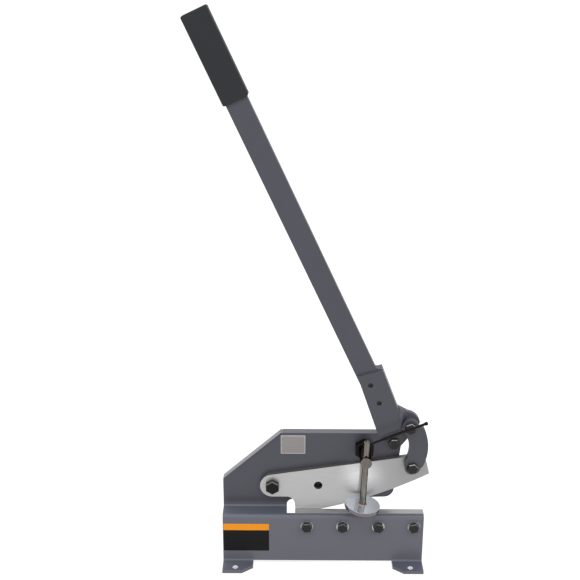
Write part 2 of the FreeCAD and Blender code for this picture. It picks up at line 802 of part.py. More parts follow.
def socket_parts():
    """The socket's front plate, the web that closes it right of the bar, and two set screws."""
    web_front = moving_front - handle_deep
    plate_front = web_front - socket_plate
    low_right = (link_x - socket_low_back, link_z + socket_low_rise)
    side_right = (link_x - socket_side_back, link_z + socket_side_rise)
    front = new_body("socket_front_plate")
    slab(
        front,
        "socket_front",
        [socket_corner(ZERO), low_right, side_right, mouth_right(), socket_corner(socket_long)],
        plate_front,
        web_front,
    )
    doc.recompute()
    screws = [bar_corner(screw_high, -screw_left), bar_corner(screw_low, -screw_left)]
    front.Tip = bore(
        front,
        "socket_screw_holes",
        [(x, z, screw_radius) for x, z in screws],
        plate_front - OVERLAP,
        web_front + OVERLAP,
    )
    web = new_body("socket_web")
    side = handle_wide / 2
    web.Tip = slab(
        web,
        "socket_web_block",
        [
            socket_corner(ZERO),
            low_right,
            side_right,
            mouth_right(),
            bar_corner(handle_mouth(), side),
            bar_corner(ZERO, side),
            bar_corner(ZERO, -side),
        ],
        web_front,
        moving_front,
    )
    for number, place in enumerate(screws):
        name = "set_screw_" + str(number + 1)
        screw = turned_rod(name, screw_radius - screw_gap, socket_plate - screw_sink)
        point_forward(screw, place[0], web_front, place[1])


def handle_parts():
    """The flat handle bar and the soft grip on its upper end."""
    side = handle_wide / 2
    bar = new_body("handle_bar")
    bar.Tip = slab(
        bar,
        "handle_bar_flat",
        [
            bar_corner(ZERO, -side),
            bar_corner(ZERO, side),
            bar_corner(handle_long, side),
            bar_corner(handle_long, -side),
        ],
        moving_front - handle_deep,
        moving_front,
    )
    grip = new_body("handle_grip")
    middle = moving_front - handle_deep / 2
    wide = grip_wide / 2
    top = handle_long + grip_cap
    solid = slab(
        grip,
        "grip_block",
        [
            bar_corner(top - grip_long, -wide),
            bar_corner(top - grip_long, wide),
            bar_corner(top, wide),
            bar_corner(top, -wide),
        ],
        middle - grip_deep / 2,
        middle + grip_deep / 2,
    )
    round_edges(grip, "grip_corners", solid, grip_round, runs_deep)
    sketch = new_sketch(grip, "grip_hollow_outline", "XZ_Plane", -moving_front)
    outline(
        sketch,
        [
            bar_corner(top - grip_long - OVERLAP, -side),
            bar_corner(top - grip_long - OVERLAP, side),
            bar_corner(handle_long, side),
            bar_corner(handle_long, -side),
        ],
    )
    grip.Tip = cut_through(grip, "grip_hollow", sketch, handle_deep, True)


def turned_rod(name, radius, length):
    """A plain round rod that stands at the origin until it is placed."""
    rod = doc.addObject("Part::Cylinder", name)
    bind(rod, "Radius", radius)
    bind(rod, "Height", length)
    rod.Label = name
    return rod


def point_forward(target, x, y, z):
    """Place a rod so that it runs from a point towards the user."""
    target.Placement = FreeCAD.Placement(
        FreeCAD.Vector(amount(x), amount(y), amount(z)),
        FreeCAD.Rotation(FreeCAD.Vector(1, 0, 0), 90),
    )
    bind(target, "Placement.Base.x", x)
    bind(target, "Placement.Base.y", y)
    bind(target, "Placement.Base.z", z)


def place_turned(target, x, y, z, angle):
    """Place an object and turn it about the depth axis, with formulas for both."""
    target.Placement = FreeCAD.Placement(
        FreeCAD.Vector(amount(x), amount(y), amount(z)),
        FreeCAD.Rotation(FreeCAD.Vector(0, 1, 0), amount(angle)),
    )
    bind(target, "Placement.Rotation.Angle", angle)
    bind(target, "Placement.Base.x", x)
    bind(target, "Placement.Base.y", y)
    bind(target, "Placement.Base.z", z)


socket_parts()
handle_parts()


def link():
    """The link: two eyes joined by a band that bows to the right."""
    body = new_body("link")
    slab(
        body,
        "link_band",
        [
            (link_x - link_inner_run, link_z - link_inner_drop, -link_inner_radius),
            (link_low_x - link_foot_radius, link_low_z + link_inner_rise),
            (link_low_x - link_foot_radius, link_low_z),
            (link_low_x + link_foot_radius, link_low_z),
            (link_low_x + link_outer_run, link_low_z + link_outer_rise, link_outer_radius),
            (link_x + link_top_radius, link_z + link_outer_top),
            (link_x, link_z),
        ],
        link_front,
        link_back,
    )
    eyes = [
        ("link_top_eye", link_x, link_z, link_top_radius),
        ("link_foot_eye", link_low_x, link_low_z, link_foot_radius),
    ]
    for name, x, z, radius in eyes:
        disc(body, name, [(x, z, radius)], link_front, link_back)
    doc.recompute()
    body.Tip = bore(
        body,
        "link_holes",
        [
            (link_x, link_z, joint_bolt_radius + running_gap),
            (link_low_x, link_low_z, foot_bolt_radius),
        ],
        link_front - OVERLAP,
        link_back + OVERLAP,
    )


link()


def hexagon(x, z, flats, turn):
    """Corners of a hexagon about a point, turned by an angle in degrees."""
    corners = []
    for index in range(HEX_SIDES):
        angle = math.radians(turn + index * 360.0 / HEX_SIDES)
        reach = flats * CORNER_PER_FLAT
        corners.append((x + reach * math.cos(angle), z + reach * math.sin(angle)))
    return corners


def hex_bolt(label, x, z, radius, flats, turn, front, seat, tail):
    """A hexagon bolt from in front: head from its front to its seat, shank back to the tail."""
    body = new_body(label)
    head = slab(body, label + "_head", hexagon(x, z, flats, turn), front, seat)
    break_edges(body, label + "_chamfer", head, head_chamfer, front)
    body.Tip = disc(body, label + "_shank", [(x, z, radius)], seat, tail)


def hex_nut(label, x, z, radius, flats, turn, front, back):
    """A hexagon nut between two depths, chamfered on the side that can be seen."""
    body = new_body(label)
    block = slab(body, label + "_block", hexagon(x, z, flats, turn), front, back)
    shown = back if amount(back) > 0 or amount(front) > amount(moving_front) else front
    break_edges(body, label + "_chamfer", block, head_chamfer, shown)
    body.Tip = bore(body, label + "_hole", [(x, z, radius)], front - OVERLAP, back + OVERLAP)


def washer(label, x, z, radius, hole, front, back):
    """A flat washer between two depths."""
    body = new_body(label)
    disc(body, label + "_disc", [(x, z, radius)], front, back)
    doc.recompute()
    body.Tip = bore(body, label + "_hole", [(x, z, hole)], front - OVERLAP, back + OVERLAP)


CLAMP_TURNS = (4.0, 24.0, 47.0, 13.0)
for index, place in enumerate(clamp_places):
    number = str(index + 1)
    seat = front_face - clamp_washer_thick
    washer(
        "blade_bolt_washer_" + number,
        place,
        clamp_z,
        clamp_washer_radius,
        clamp_radius,
        seat,
        front_face,
    )
    hex_bolt(
        "blade_bolt_" + number,
        place,
        clamp_z,
        clamp_radius,
        clamp_head_flats,
        CLAMP_TURNS[index],
        seat - clamp_head_tall,
        seat,
        shear_plane - clamp_tip_gap,
    )

VERTEX_UP = 30.0
UPPER_TURN = 22.0
LOWER_TURN = 12.0
LEVER_TURN = 0.0
pivot_seat = moving_front - face_gap
link_nut_front = moving_back + face_gap + face_gap
hex_bolt(
    "blade_pivot_bolt",
    blade_x,
    blade_z,
    blade_pin_radius,
    pivot_head_flats,
    VERTEX_UP,
    pivot_seat - pivot_head_tall,
    pivot_seat,
    plate_thick + pivot_head_tall + thread_end,
)
hex_nut(
    "blade_pivot_nut",
    blade_x,
    blade_z,
    blade_pin_radius,
    pivot_head_flats,
    VERTEX_UP,
    plate_thick,
    plate_thick + pivot_head_tall,
)
hex_bolt(
    "lever_pivot_bolt",
    lever_x,
    lever_z,
    joint_bolt_radius,
    joint_head_flats,
    LEVER_TURN,
    pivot_seat - joint_head_tall,
    pivot_seat,
    plate_thick + joint_nut_tall + thread_end,
)
hex_nut(
    "lever_pivot_nut",
    lever_x,
    lever_z,
    joint_bolt_radius,
    joint_head_flats,
    LEVER_TURN,
    plate_thick,
    plate_thick + joint_nut_tall,
)
hex_bolt(
    "link_upper_bolt",
    link_x,
    link_z,
    joint_bolt_radius,
    joint_head_flats,
    UPPER_TURN,
    link_front - face_gap - joint_head_tall,
    link_front - face_gap,
    moving_back + joint_nut_tall + thread_end,
)
hex_nut(
    "link_upper_nut",
    link_x,
    link_z,
    joint_bolt_radius,
    joint_head_flats,
    UPPER_TURN,
    moving_back,
    moving_back + joint_nut_tall,
)
hex_bolt(
    "link_lower_bolt",
    link_low_x,
    link_low_z,
    foot_bolt_radius,
    joint_head_flats,
    LOWER_TURN,
    link_front - joint_head_tall,
    link_front,
    link_nut_front + joint_nut_tall + thread_end,
)
hex_nut(
    "link_lower_nut",
    link_low_x,
    link_low_z,
    foot_bolt_radius,
    joint_head_flats,
    LOWER_TURN,
    link_nut_front,
    link_nut_front + joint_nut_tall,
)


def hold_down_stud():
    """The stud through the frame, with a leaning hole across it, and its two lock nuts."""
    blank = new_body("stud_blank")
    disc(
        blank,
        "stud_shaft",
        [(stud_x, stud_z, stud_radius)],
        -plate_thick - stud_reach,
        plate_thick + stud_tail,
    )
    doc.recompute()
    hole = turned_rod("stud_cross_hole", spindle_radius + running_gap, stud_radius * 4)
    place_turned(
        hole,
        stud_x - sine(spindle_lean) * stud_radius * 2,
        -plate_thick - spindle_front,
        stud_z - cosine(spindle_lean) * stud_radius * 2,
        spindle_lean,
    )
    drilled = doc.addObject("Part::Cut", "hold_down_stud")
    drilled.Base = blank
    drilled.Tool = hole
    hex_nut(
        "hold_down_lock_nut",
        stud_x,
        stud_z,
        stud_radius,
        lock_flats,
        VERTEX_UP,
        -plate_thick - lock_tall - face_gap,
        -plate_thick - face_gap,
    )
    hex_nut(
        "hold_down_rear_nut",
        stud_x,
        stud_z,
        stud_radius,
        lock_flats,
        VERTEX_UP,
        plate_thick + face_gap,
        plate_thick + face_gap + rear_nut_tall,
    )


def hold_down_spindle():
    """The leaning spindle with its cross hole, its turning bar and its pressure disc."""
    lean = spindle_lean
    depth = -plate_thick - spindle_front
    low_x = stud_x - sine(lean) * spindle_down
    low_z = stud_z - cosine(lean) * spindle_down
    bar_rise = spindle_up - bar_drop
    back_x = stud_x + sine(lean) * bar_rise - cosine(bar_lean) * bar_back
    back_z = stud_z + cosine(lean) * bar_rise - sine(bar_lean) * bar_back
    tilt = -(bar_lean - 90.0)
    rod = turned_rod("spindle_rod", spindle_radius, spindle_up + spindle_down)
    place_turned(rod, low_x, depth, low_z, lean)
    bar = turned_rod("turning_bar", bar_radius, bar_long)
    place_turned(bar, back_x, depth, back_z, tilt)
    hole = turned_rod("spindle_bar_hole", bar_radius, bar_long)
    place_turned(hole, back_x, depth, back_z, tilt)
    spindle = doc.addObject("Part::Cut", "hold_down_spindle")
    spindle.Base = rod
    spindle.Tool = hole
    plate = turned_rod("pressure_disc", disc_radius, disc_thick)
    plate_x = low_x - sine(lean) * disc_thick
    plate_z = low_z - cosine(lean) * disc_thick
    place_turned(plate, plate_x, depth, plate_z, lean)


hold_down_stud()
hold_down_spindle()
doc.recompute()

HELPERS = {"stud_blank", "stud_cross_hole", "spindle_rod", "spindle_bar_hole"}
SOLID_KINDS = ("PartDesign::Body", "Part::Cylinder", "Part::Cut")
for item in doc.Objects:
    if "Invalid" in item.State or "Error" in item.State:
        raise RuntimeError(item.Name + " is in state " + str(item.State))
for item in doc.Objects:
    if item.TypeId not in SOLID_KINDS or item.Label in HELPERS:
        continue
    if item.Shape.isNull() or not item.Shape.isValid():
        raise RuntimeError(item.Label + " has no valid shape")
    item.Shape.exportStep("parts/" + item.Label + ".step")
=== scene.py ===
"""Looks of a hand plate shear: its finishes, its small trim, the studio and the camera.

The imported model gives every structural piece. This script dresses those pieces, adds the bare
plates and small trim, and puts a few forms right. All lengths are in metres.
"""
import logging
import math
from dataclasses import dataclass, replace
from enum import Enum

import bpy
import numpy as np
from mathutils import Matrix, Vector


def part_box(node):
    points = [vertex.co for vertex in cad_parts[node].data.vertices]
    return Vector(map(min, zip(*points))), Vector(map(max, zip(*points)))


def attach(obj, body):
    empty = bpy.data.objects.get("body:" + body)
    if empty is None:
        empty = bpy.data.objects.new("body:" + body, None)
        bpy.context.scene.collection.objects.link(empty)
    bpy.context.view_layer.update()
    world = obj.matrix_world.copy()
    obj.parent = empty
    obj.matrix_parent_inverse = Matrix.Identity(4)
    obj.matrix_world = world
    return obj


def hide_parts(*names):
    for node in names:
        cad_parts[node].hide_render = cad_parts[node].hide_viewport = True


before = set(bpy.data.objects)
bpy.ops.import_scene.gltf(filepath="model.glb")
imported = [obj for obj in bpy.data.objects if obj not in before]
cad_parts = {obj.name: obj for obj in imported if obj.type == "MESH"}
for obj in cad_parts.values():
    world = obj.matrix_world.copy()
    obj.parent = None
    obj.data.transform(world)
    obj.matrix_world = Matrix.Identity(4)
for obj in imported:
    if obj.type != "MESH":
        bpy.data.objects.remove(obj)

LOG = logging.getLogger("plate_shear")
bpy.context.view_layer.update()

Colour = tuple[float, float, float]
Grid = np.ndarray
Pair = tuple[float, float]
Point = tuple[float, float, float]
Socket = bpy.types.NodeSocket
Layers = list[tuple[Socket, Colour]]

# A mask that falls over its range, and the socket types of the node groups.
FALLING = (1.0, 0.0)
FLOAT = "NodeSocketFloat"
VECTOR = "NodeSocketVector"
COLOUR = "NodeSocketColor"
# The numbers of a Mix node's two colours and of its colour result.
MIX_FIRST, MIX_SECOND, MIX_RESULT = 6, 7, 2


class Body(Enum):
    """The rigid bodies that the scene's own pieces ride on."""

    FRAME = "frame"
    LEVER = "lever"
    LINK = "link"
    BLADE = "blade"
    SPINDLE = "spindle"


class Grain(Enum):
    """The direction that a ground surface is brushed in, as stretches of X, Y and Z."""

    ALONG_X = (0.05, 1.0, 1.0)
    ALONG_Z = (1.0, 1.0, 0.05)
    EVEN = (1.0, 1.0, 1.0)


class Ground(Enum):
    """The axis that a piece's ground or polished faces look along."""

    ALONG_Y = "Y"
    ALONG_Z = "Z"


class Graph:
    """A small helper that adds and joins the nodes of one tree."""

    def __init__(self, tree: bpy.types.NodeTree) -> None:
        """Keep the tree that the nodes go into."""
        self.tree = tree

    def fill(self, socket: Socket, value: object) -> None:
        """Link an input socket to an output socket, or set it to a plain value.

        Args:
            socket: The input socket.
            value: An output socket or a plain value.
        """
        if isinstance(value, Socket):
            self.tree.links.new(value, socket)
        else:
            socket.default_value = value

    def add(self, kind: str, *values: object, **settings: object) -> bpy.types.Node:
        """Add a node and fill its first inputs in their order.

        Args:
            kind: The node's type name.
            values: A plain value or an output socket for each input.
            settings: Properties of the node, by name.

        Returns:
            The new node.
        """
        node = self.tree.nodes.new(kind)
        for name, value in settings.items():
            setattr(node, name, value)
        for socket, value in zip(node.inputs, values):
            self.fill(socket, value)
        return node

    def put(self, node: bpy.types.Node, **sockets: object) -> None:
        """Fill inputs of a node by name, with underscores for the spaces in the names.

        Args:
            node: The node.
            sockets: A plain value or an output socket for each input.
        """
        for name, value in sockets.items():
            self.fill(node.inputs[name.replace("_", " ")], value)

    def maths(self, how: str, *values: object) -> Socket:
        """Work out a value with a Math node.

        Args:
            how: The operation's name.
            values: Its one or two operands, numbers or sockets.

        Returns:
            The result's socket.
        """
        return self.add("ShaderNodeMath", *values, operation=how).outputs[0]

    def times(self, first: Socket, second: float | Socket) -> Socket:
        """The product of two values."""
        return self.maths("MULTIPLY", first, second)

    def spread(self, value: Socket, low: Pair, high: Pair = (0.0, 1.0)) -> Socket:
        """Map a value from one range to another, held at both ends.

        Args:
            value: The value's socket.
            low: The range that comes in.
            high: The range that goes out.

        Returns:
            The result's socket.
        """
        node = self.add("ShaderNodeMapRange")
        self.put(node, Value=value, From_Min=low[0], From_Max=low[1], To_Min=high[0],
                 To_Max=high[1])
        return node.outputs["Result"]

    def facing(self, axis: str) -> Socket:
        """How far a face looks along an axis, from -1 to 1."""
        normal = self.add("ShaderNodeNewGeometry").outputs["True Normal"]
        return self.add("ShaderNodeSeparateXYZ", normal).outputs[axis]

    def place(self, axis: str) -> Socket:
        """The place on the piece along an axis, in metres."""
        place = self.add("ShaderNodeTexCoord").outputs["Object"]
        return self.add("ShaderNodeSeparateXYZ", place).outputs[axis]

    def blend(self, share: Socket, first: Socket, second: Colour | Socket) -> Socket:
        """Go over from one colour to another by a share.

        Args:
            share: 0 for the first colour and 1 for the second.
            first: The first colour's socket.
            second: The second colour, or its socket.

        Returns:
            The mixed colour.
        """
        mix = self.add("ShaderNodeMix", data_type="RGBA")
        other = second if isinstance(second, Socket) else (*second, 1.0)
        for name, value in (("Factor", share), (MIX_FIRST, first), (MIX_SECOND, other)):
            self.fill(mix.inputs[name], value)
        return mix.outputs[MIX_RESULT]

    def noise(self, place: Socket, scale: float | Socket, detail: float) -> Socket:
        """Noise from 0 to 1.

        Args:
            place: The socket of the place that it is read at.
            scale: How fine it is.
            detail: How many finer layers it has.

        Returns:
            The noise's socket.
        """
        node = self.add("ShaderNodeTexNoise")
        self.put(node, Vector=place, Scale=scale, Detail=detail)
        return node.outputs["Fac"]


def new_group(name: str, inputs: dict[str, str], outputs: dict[str, str]) -> Graph:
    """Make an empty shader node group.

    Args:
        name: The group's name.
        inputs: Each input's name with its socket type.
        outputs: Each output's name with its socket type.

    Returns:
        The helper that fills it.
    """
    tree = bpy.data.node_groups.new(name, "ShaderNodeTree")
    for side, sockets in (("INPUT", inputs), ("OUTPUT", outputs)):
        for label, kind in sockets.items():
            tree.interface.new_socket(label, in_out=side, socket_type=kind)
    return Graph(tree)


# The grain: the detail of its noises, the fine one's share, and the values it is drawn from.
FINE_DETAIL, BROAD_DETAIL = 3.0, 2.0
FINE_SHARE = 0.55
GRAIN_VALUES = (0.38, 0.62)


def grain_group() -> bpy.types.NodeTree:
    """Fine and broad noise on object coordinates, as a tint, a gloss value and a height.

    Returns:
        The node group.
    """
    graph = new_group(
        "surface_grain",
        {"Stretch": VECTOR, "Fine Scale": FLOAT, "Broad Scale": FLOAT, "Colour": COLOUR,
         "Second Colour": COLOUR, "Roughness": FLOAT, "Roughness Spread": FLOAT},
        {"Colour": COLOUR, "Roughness": FLOAT, "Height": FLOAT},
    )
    given = graph.add("NodeGroupInput").outputs
    place = graph.add("ShaderNodeTexCoord").outputs["Object"]
    stretched = graph.add("ShaderNodeVectorMath", place, given["Stretch"],
                          operation="MULTIPLY").outputs[0]
    fine = graph.noise(stretched, given["Fine Scale"], FINE_DETAIL)
    broad = graph.noise(place, given["Broad Scale"], BROAD_DETAIL)
    both = graph.maths("ADD", graph.times(fine, FINE_SHARE),
                       graph.times(broad, 1.0 - FINE_SHARE))
    share = graph.spread(both, GRAIN_VALUES)
    tint = graph.blend(share, given["Colour"], given["Second Colour"])
    centred = graph.maths("SUBTRACT", share, 0.5)
    gloss = graph.maths("ADD", given["Roughness"],
                        graph.times(centred, given["Roughness Spread"]))
    graph.put(graph.add("NodeGroupOutput"), Colour=tint, Roughness=gloss, Height=fine)
    return graph.tree


# Worn edges: the two normals' product from unworn to worn, and the noise that breaks it up.
BEVEL_SAMPLES = 4
EDGE_PRODUCT = (0.999, 0.85)
PATCH_SCALE, PATCH_DETAIL = 220.0, 4.0
PATCH_VALUES, PATCH_SHARE = (0.42, 0.62), (0.25, 1.0)


def wear_group() -> bpy.types.NodeTree:
    """Worn edges: a mask where the rounded and the true normal part, broken up by noise.

    Returns:
        The node group.
    """
    graph = new_group("edge_wear", {"Radius": FLOAT, "Amount": FLOAT},
                      {"Mask": FLOAT, "Normal": VECTOR})
    given = graph.add("NodeGroupInput").outputs
    bevel = graph.add("ShaderNodeBevel", given["Radius"], samples=BEVEL_SAMPLES).outputs[0]
    true = graph.add("ShaderNodeNewGeometry").outputs["Normal"]
    dot = graph.add("ShaderNodeVectorMath", bevel, true, operation="DOT_PRODUCT")
    edge = graph.spread(dot.outputs["Value"], EDGE_PRODUCT)
    place = graph.add("ShaderNodeTexCoord").outputs["Object"]
    patch = graph.spread(graph.noise(place, PATCH_SCALE, PATCH_DETAIL), PATCH_VALUES,
                         PATCH_SHARE)
    mask = graph.times(graph.times(edge, patch), given["Amount"])
    graph.put(graph.add("NodeGroupOutput"), Mask=mask, Normal=bevel)
    return graph.tree


GRAIN = grain_group()
WEAR = wear_group()
MADE: dict[str, bpy.types.Material] = {}
# How far a face looks along the ground axis, from a darker side to a ground face; on the moving
# blade that darker side is painted shade and reflection.
SIDE_FACING = (0.4, 0.6)


@dataclass(frozen=True)
class Finish:
    """One surface finish of the machine.

    Attributes:
        name: The material's name.
        colour: Its main colour, linear.
        second: The colour that its grain drifts to.
        edge: The colour of its worn edges.
        roughness: Its mean roughness.
        spread: How far the grain changes that.
        metallic: 1 for bare metal and 0 for paint, plastic or oxide.
        fine: Scale of the fine grain.
        broad: Scale of the broad drift.
        bump: Height of the grain.
        wear: How strongly the edges are worn.
        edge_radius: Radius that edges are shaded with.
        grain: The direction of the grain.
        specular: The shader's specular level.
        rim_tint: Tint of the reflection at glancing angles.
        dark_side_colour: Colour of the sides that do not look along the ground axis, if any:
            painted shade and reflection on the moving blade's edges, a darker rim on the disc.
        ground: The axis that the ground faces look along.
    """

    name: str
    colour: Colour
    second: Colour
    edge: Colour
    roughness: float = 0.45
    spread: float = 0.1
    metallic: float = 0.0
    fine: float = 900.0
    broad: float = 14.0
    bump: float = 0.00004
    wear: float = 0.35
    edge_radius: float = 0.0007
    grain: Grain = Grain.EVEN
    specular: float = 0.35
    rim_tint: Colour = (1.0, 1.0, 1.0)
    dark_side_colour: Colour | None = None
    ground: Ground = Ground.ALONG_Y

    def material(self) -> bpy.types.Material:
        """Build the material once and return it from then on.

        Returns:
            The material.
        """
        if self.name in MADE:
            return MADE[self.name]
        made = bpy.data.materials.new(self.name)
        MADE[self.name] = made
        made.use_nodes = True
        tree = made.node_tree
        tree.nodes.clear()
        graph = Graph(tree)
        shader = graph.add("ShaderNodeBsdfPrincipled")
        grain = graph.add("ShaderNodeGroup", node_tree=GRAIN)
        graph.put(grain, Stretch=self.grain.value, Fine_Scale=self.fine,
                  Broad_Scale=self.broad, Colour=(*self.colour, 1.0),
                  Second_Colour=(*self.second, 1.0),
                  Roughness=self.roughness, Roughness_Spread=self.spread)
        wear = graph.add("ShaderNodeGroup", node_tree=WEAR)
        graph.put(wear, Radius=self.edge_radius, Amount=self.wear)
        colour = grain.outputs["Colour"]
        for share, other in (*self.layers(graph), (wear.outputs["Mask"], self.edge)):
            colour = graph.blend(share, colour, other)
        bump = graph.add("ShaderNodeBump")
        graph.put(bump, Height=grain.outputs["Height"], Distance=self.bump, Strength=1.0,
                  Normal=wear.outputs["Normal"])
        graph.put(shader, Base_Color=colour, Roughness=grain.outputs["Roughness"],
                  Normal=bump.outputs["Normal"], Metallic=self.metallic,
                  Specular_IOR_Level=self.specular, Specular_Tint=(*self.rim_tint, 1.0))
        graph.add("ShaderNodeOutputMaterial", shader.outputs[0])
        return made

    def layers(self, graph: Graph) -> Layers:
        """Colours over the grain's own, where this finish differs from place to place.

        Args:
            graph: The material's nodes.

        Returns:
            Each colour with its share, from the lowest to the top one.
        """
        if self.dark_side_colour is None:
            return []
        # Sides that do not look along the ground axis take the darker colour, which is painted
        # shade and reflection on the moving blade.
        facing = graph.maths("ABSOLUTE", graph.facing(self.ground.value))
        return [(graph.spread(facing, SIDE_FACING, FALLING), self.dark_side_colour)]

    def dress(self, piece: bpy.types.Object) -> None:
        """Give a piece this finish alone."""
        piece.data.materials.clear()
        piece.data.materials.append(self.material())


@dataclass(frozen=True)
class FramePaint(Finish):
    """The frame's paint, with painted light on the lower plates, the top edges and inside the
    foot holes, and painted shade on the step and the feet.

    Attributes:
        low_light_colour: Its colour on the lower plates, lighter as painted light.
        tread_shade_colour: Its colour on the step and the feet, darker as painted shade.
        top_edge_light_colour: Its colour on the upper plates' sawn top edges, lighter as
            painted light from above.
        slant_light_colour: Its colour on the sawn edges that slope, lighter as painted light
            from the upper left.
        hole_light_colour: Painted light inside the foot holes, for the bright floor seen
            through them.
        step: Height of the step between the upper and the lower plates.
        step_fade: Over which heights above the step the lower plates' painted light ends.
        top_fade: Over which heights above the step the top edges' painted light begins.
        upward_facing: How far a face looks up, from a side to a top edge.
        level_facing: How far it looks up, from a sloping edge to a level one.
        hole_place: Foot holes' distance from the middle, along X and Y.
        hole_reach: Radius and height within which the painted light lies.
    """

    low_light_colour: Colour = (0.129, 0.129, 0.157)
    tread_shade_colour: Colour = (0.094, 0.103, 0.132)
    top_edge_light_colour: Colour = (0.105, 0.107, 0.122)
    slant_light_colour: Colour = (0.19, 0.19, 0.208)
    hole_light_colour: Colour = (0.9, 0.9, 0.9)
    step: float = 0.092
    step_fade: Pair = (0.002, 0.012)
    top_fade: Pair = (0.012, 0.02)
    upward_facing: Pair = (0.4, 0.7)
    level_facing: Pair = (0.85, 0.95)
    hole_place: Pair = (0.145, 0.057)
    hole_reach: Pair = (0.00465, 0.0056)

    def layers(self, graph: Graph) -> Layers:
        """The painted light and shade below the step, on the top edges and inside the foot
        holes.

        Args:
            graph: The material's nodes.

        Returns:
            Each colour with its share.
        """
        height = graph.maths("SUBTRACT", graph.place("Z"), self.step)
        rise = graph.facing("Z")
        upward = graph.spread(rise, self.upward_facing)
        slant = graph.times(upward, graph.spread(rise, self.level_facing, FALLING))
        low = graph.spread(height, self.step_fade, FALLING)
        high = graph.spread(height, self.top_fade)
        # Painted light on the lower plates, painted shade on the step and the feet, painted
        # light on the top edges and inside the foot holes.
        return [
            (low, self.low_light_colour),
            (graph.times(upward, low), self.tread_shade_colour),
            (graph.times(upward, high), self.top_edge_light_colour),
            (graph.times(slant, high), self.slant_light_colour),
            (self.hole_light_share(graph), self.hole_light_colour),
        ]

    def hole_light_share(self, graph: Graph) -> Socket:
        """1 inside the foot holes, where the painted light lies, and 0 elsewhere.

        Args:
            graph: The material's nodes.

        Returns:
            The share.
        """
        squares = []
        for axis, middle in zip("XY", self.hole_place):
            side = graph.maths("ABSOLUTE", graph.place(axis))
            gap = graph.maths("SUBTRACT", side, middle)
            squares.append(graph.times(gap, gap))
        away = graph.maths("SQRT", graph.maths("ADD", *squares))
        reach, height = self.hole_reach
        within = graph.maths("LESS_THAN", away, reach)
        below = graph.maths("LESS_THAN", graph.place("Z"), height)
        return graph.times(within, below)


@dataclass(frozen=True)
class BladeSteel(Finish):
    """The moving blade's ground steel, a little darker towards its end.

    Attributes:
        end_colour: Its colour at the end.
        drift: Where the change begins and where it is complete, along the cut.
        lip_light_colour: Painted light along the cutting edge near the pivot, lighter than the
            steel, where the parts below shade the blade.
        lip: Height at which the edge's painted light strip is complete, and where it ends.
        lip_end: Where the strip fades towards the end, along the cut.
    """

    end_colour: Colour = (0.33, 0.328, 0.328)
    drift: Pair = (0.03, 0.13)
    lip_light_colour: Colour = (0.66, 0.655, 0.65)
    lip: Pair = (0.088, 0.106)
    lip_end: Pair = (0.0, 0.03)

    def layers(self, graph: Graph) -> Layers:
        """The steel's colour towards the end, the painted light at the lip, and then the
        painted shade and reflection on its sides.

        Args:
            graph: The material's nodes.

        Returns:
            Each colour with its share.
        """
        along = graph.place("X")
        lip = graph.times(graph.spread(graph.place("Z"), self.lip, FALLING),
                          graph.spread(along, self.lip_end, FALLING))
        # Painted light at the lip, over the darker end.
        return [(graph.spread(along, self.drift), self.end_colour), (lip, self.lip_light_colour),
                *super().layers(graph)]


@dataclass(frozen=True)
class HeadBlack(Finish):
    """Blackened fasteners, with a painted highlight on the upper chamfers and a painted sheen
    on the facets that look up.

    Attributes:
        chamfer_highlight_colour: Colour of the painted highlight on the upper chamfers.
        top_sheen_colour: Colour of the painted sheen on the facets that look straight up.
        top_facing: How far a facet with painted sheen looks up, from its least to its full
            share.
        chamfer_facing: The same for a chamfer with painted highlight.
        front_facing: How far a chamfer with painted highlight also looks to the front or the
            back.
    """

    roughness: float = 0.22
    spread: float = 0.12
    fine: float = 1200.0
    bump: float = 0.00001
    wear: float = 0.7
    edge_radius: float = 0.0005
    specular: float = 0.3
    chamfer_highlight_colour: Colour = (0.30, 0.295, 0.29)
    top_sheen_colour: Colour = (0.028, 0.027, 0.026)
    top_facing: Pair = (0.45, 0.72)
    chamfer_facing: Pair = (0.3, 0.6)
    front_facing: Pair = (0.5, 0.65)

    def layers(self, graph: Graph) -> Layers:
        """The painted sheen on the facets that look up and the painted highlight on the
        chamfers.

        Args:
            graph: The material's nodes.

        Returns:
            Each colour with its share.
        """
        upward = graph.facing("Z")
        front = graph.maths("ABSOLUTE", graph.facing("Y"))
        chamfer_highlight = graph.times(graph.spread(upward, self.chamfer_facing),
                             graph.spread(front, self.front_facing))
        # Painted sheen on the top facets, then painted highlight on the upper chamfers.
        return [(graph.spread(upward, self.top_facing), self.top_sheen_colour),
                (chamfer_highlight, self.chamfer_highlight_colour)]


# The frame's paint carries painted light and shade by height and by facing.
FRAME_PAINT = FramePaint("frame_paint", (0.0583, 0.0578, 0.0757), (0.0643, 0.0637, 0.0835),
                         (0.17, 0.175, 0.2), roughness=0.34, fine=1400.0, bump=0.00002,
                         wear=0.5, specular=0.45)
LEVER_PAINT = Finish("lever_paint", (0.069, 0.069, 0.086), (0.076, 0.076, 0.095),
                     (0.14, 0.145, 0.165), roughness=0.42, fine=1400.0, bump=0.00003, wear=0.4)
# The link's brighter worn edges are partly wear and partly a painted highlight on its rims.
LINK_PAINT = replace(LEVER_PAINT, name="link_paint", edge=(0.24, 0.235, 0.24), wear=0.6)
GRIP_SKIN = Finish("grip_skin", (0.020, 0.021, 0.024), (0.025, 0.026, 0.030),
                   (0.035, 0.035, 0.038), roughness=0.62, fine=1800.0, bump=0.00008, wear=0.2,
                   edge_radius=0.0015, specular=0.25)
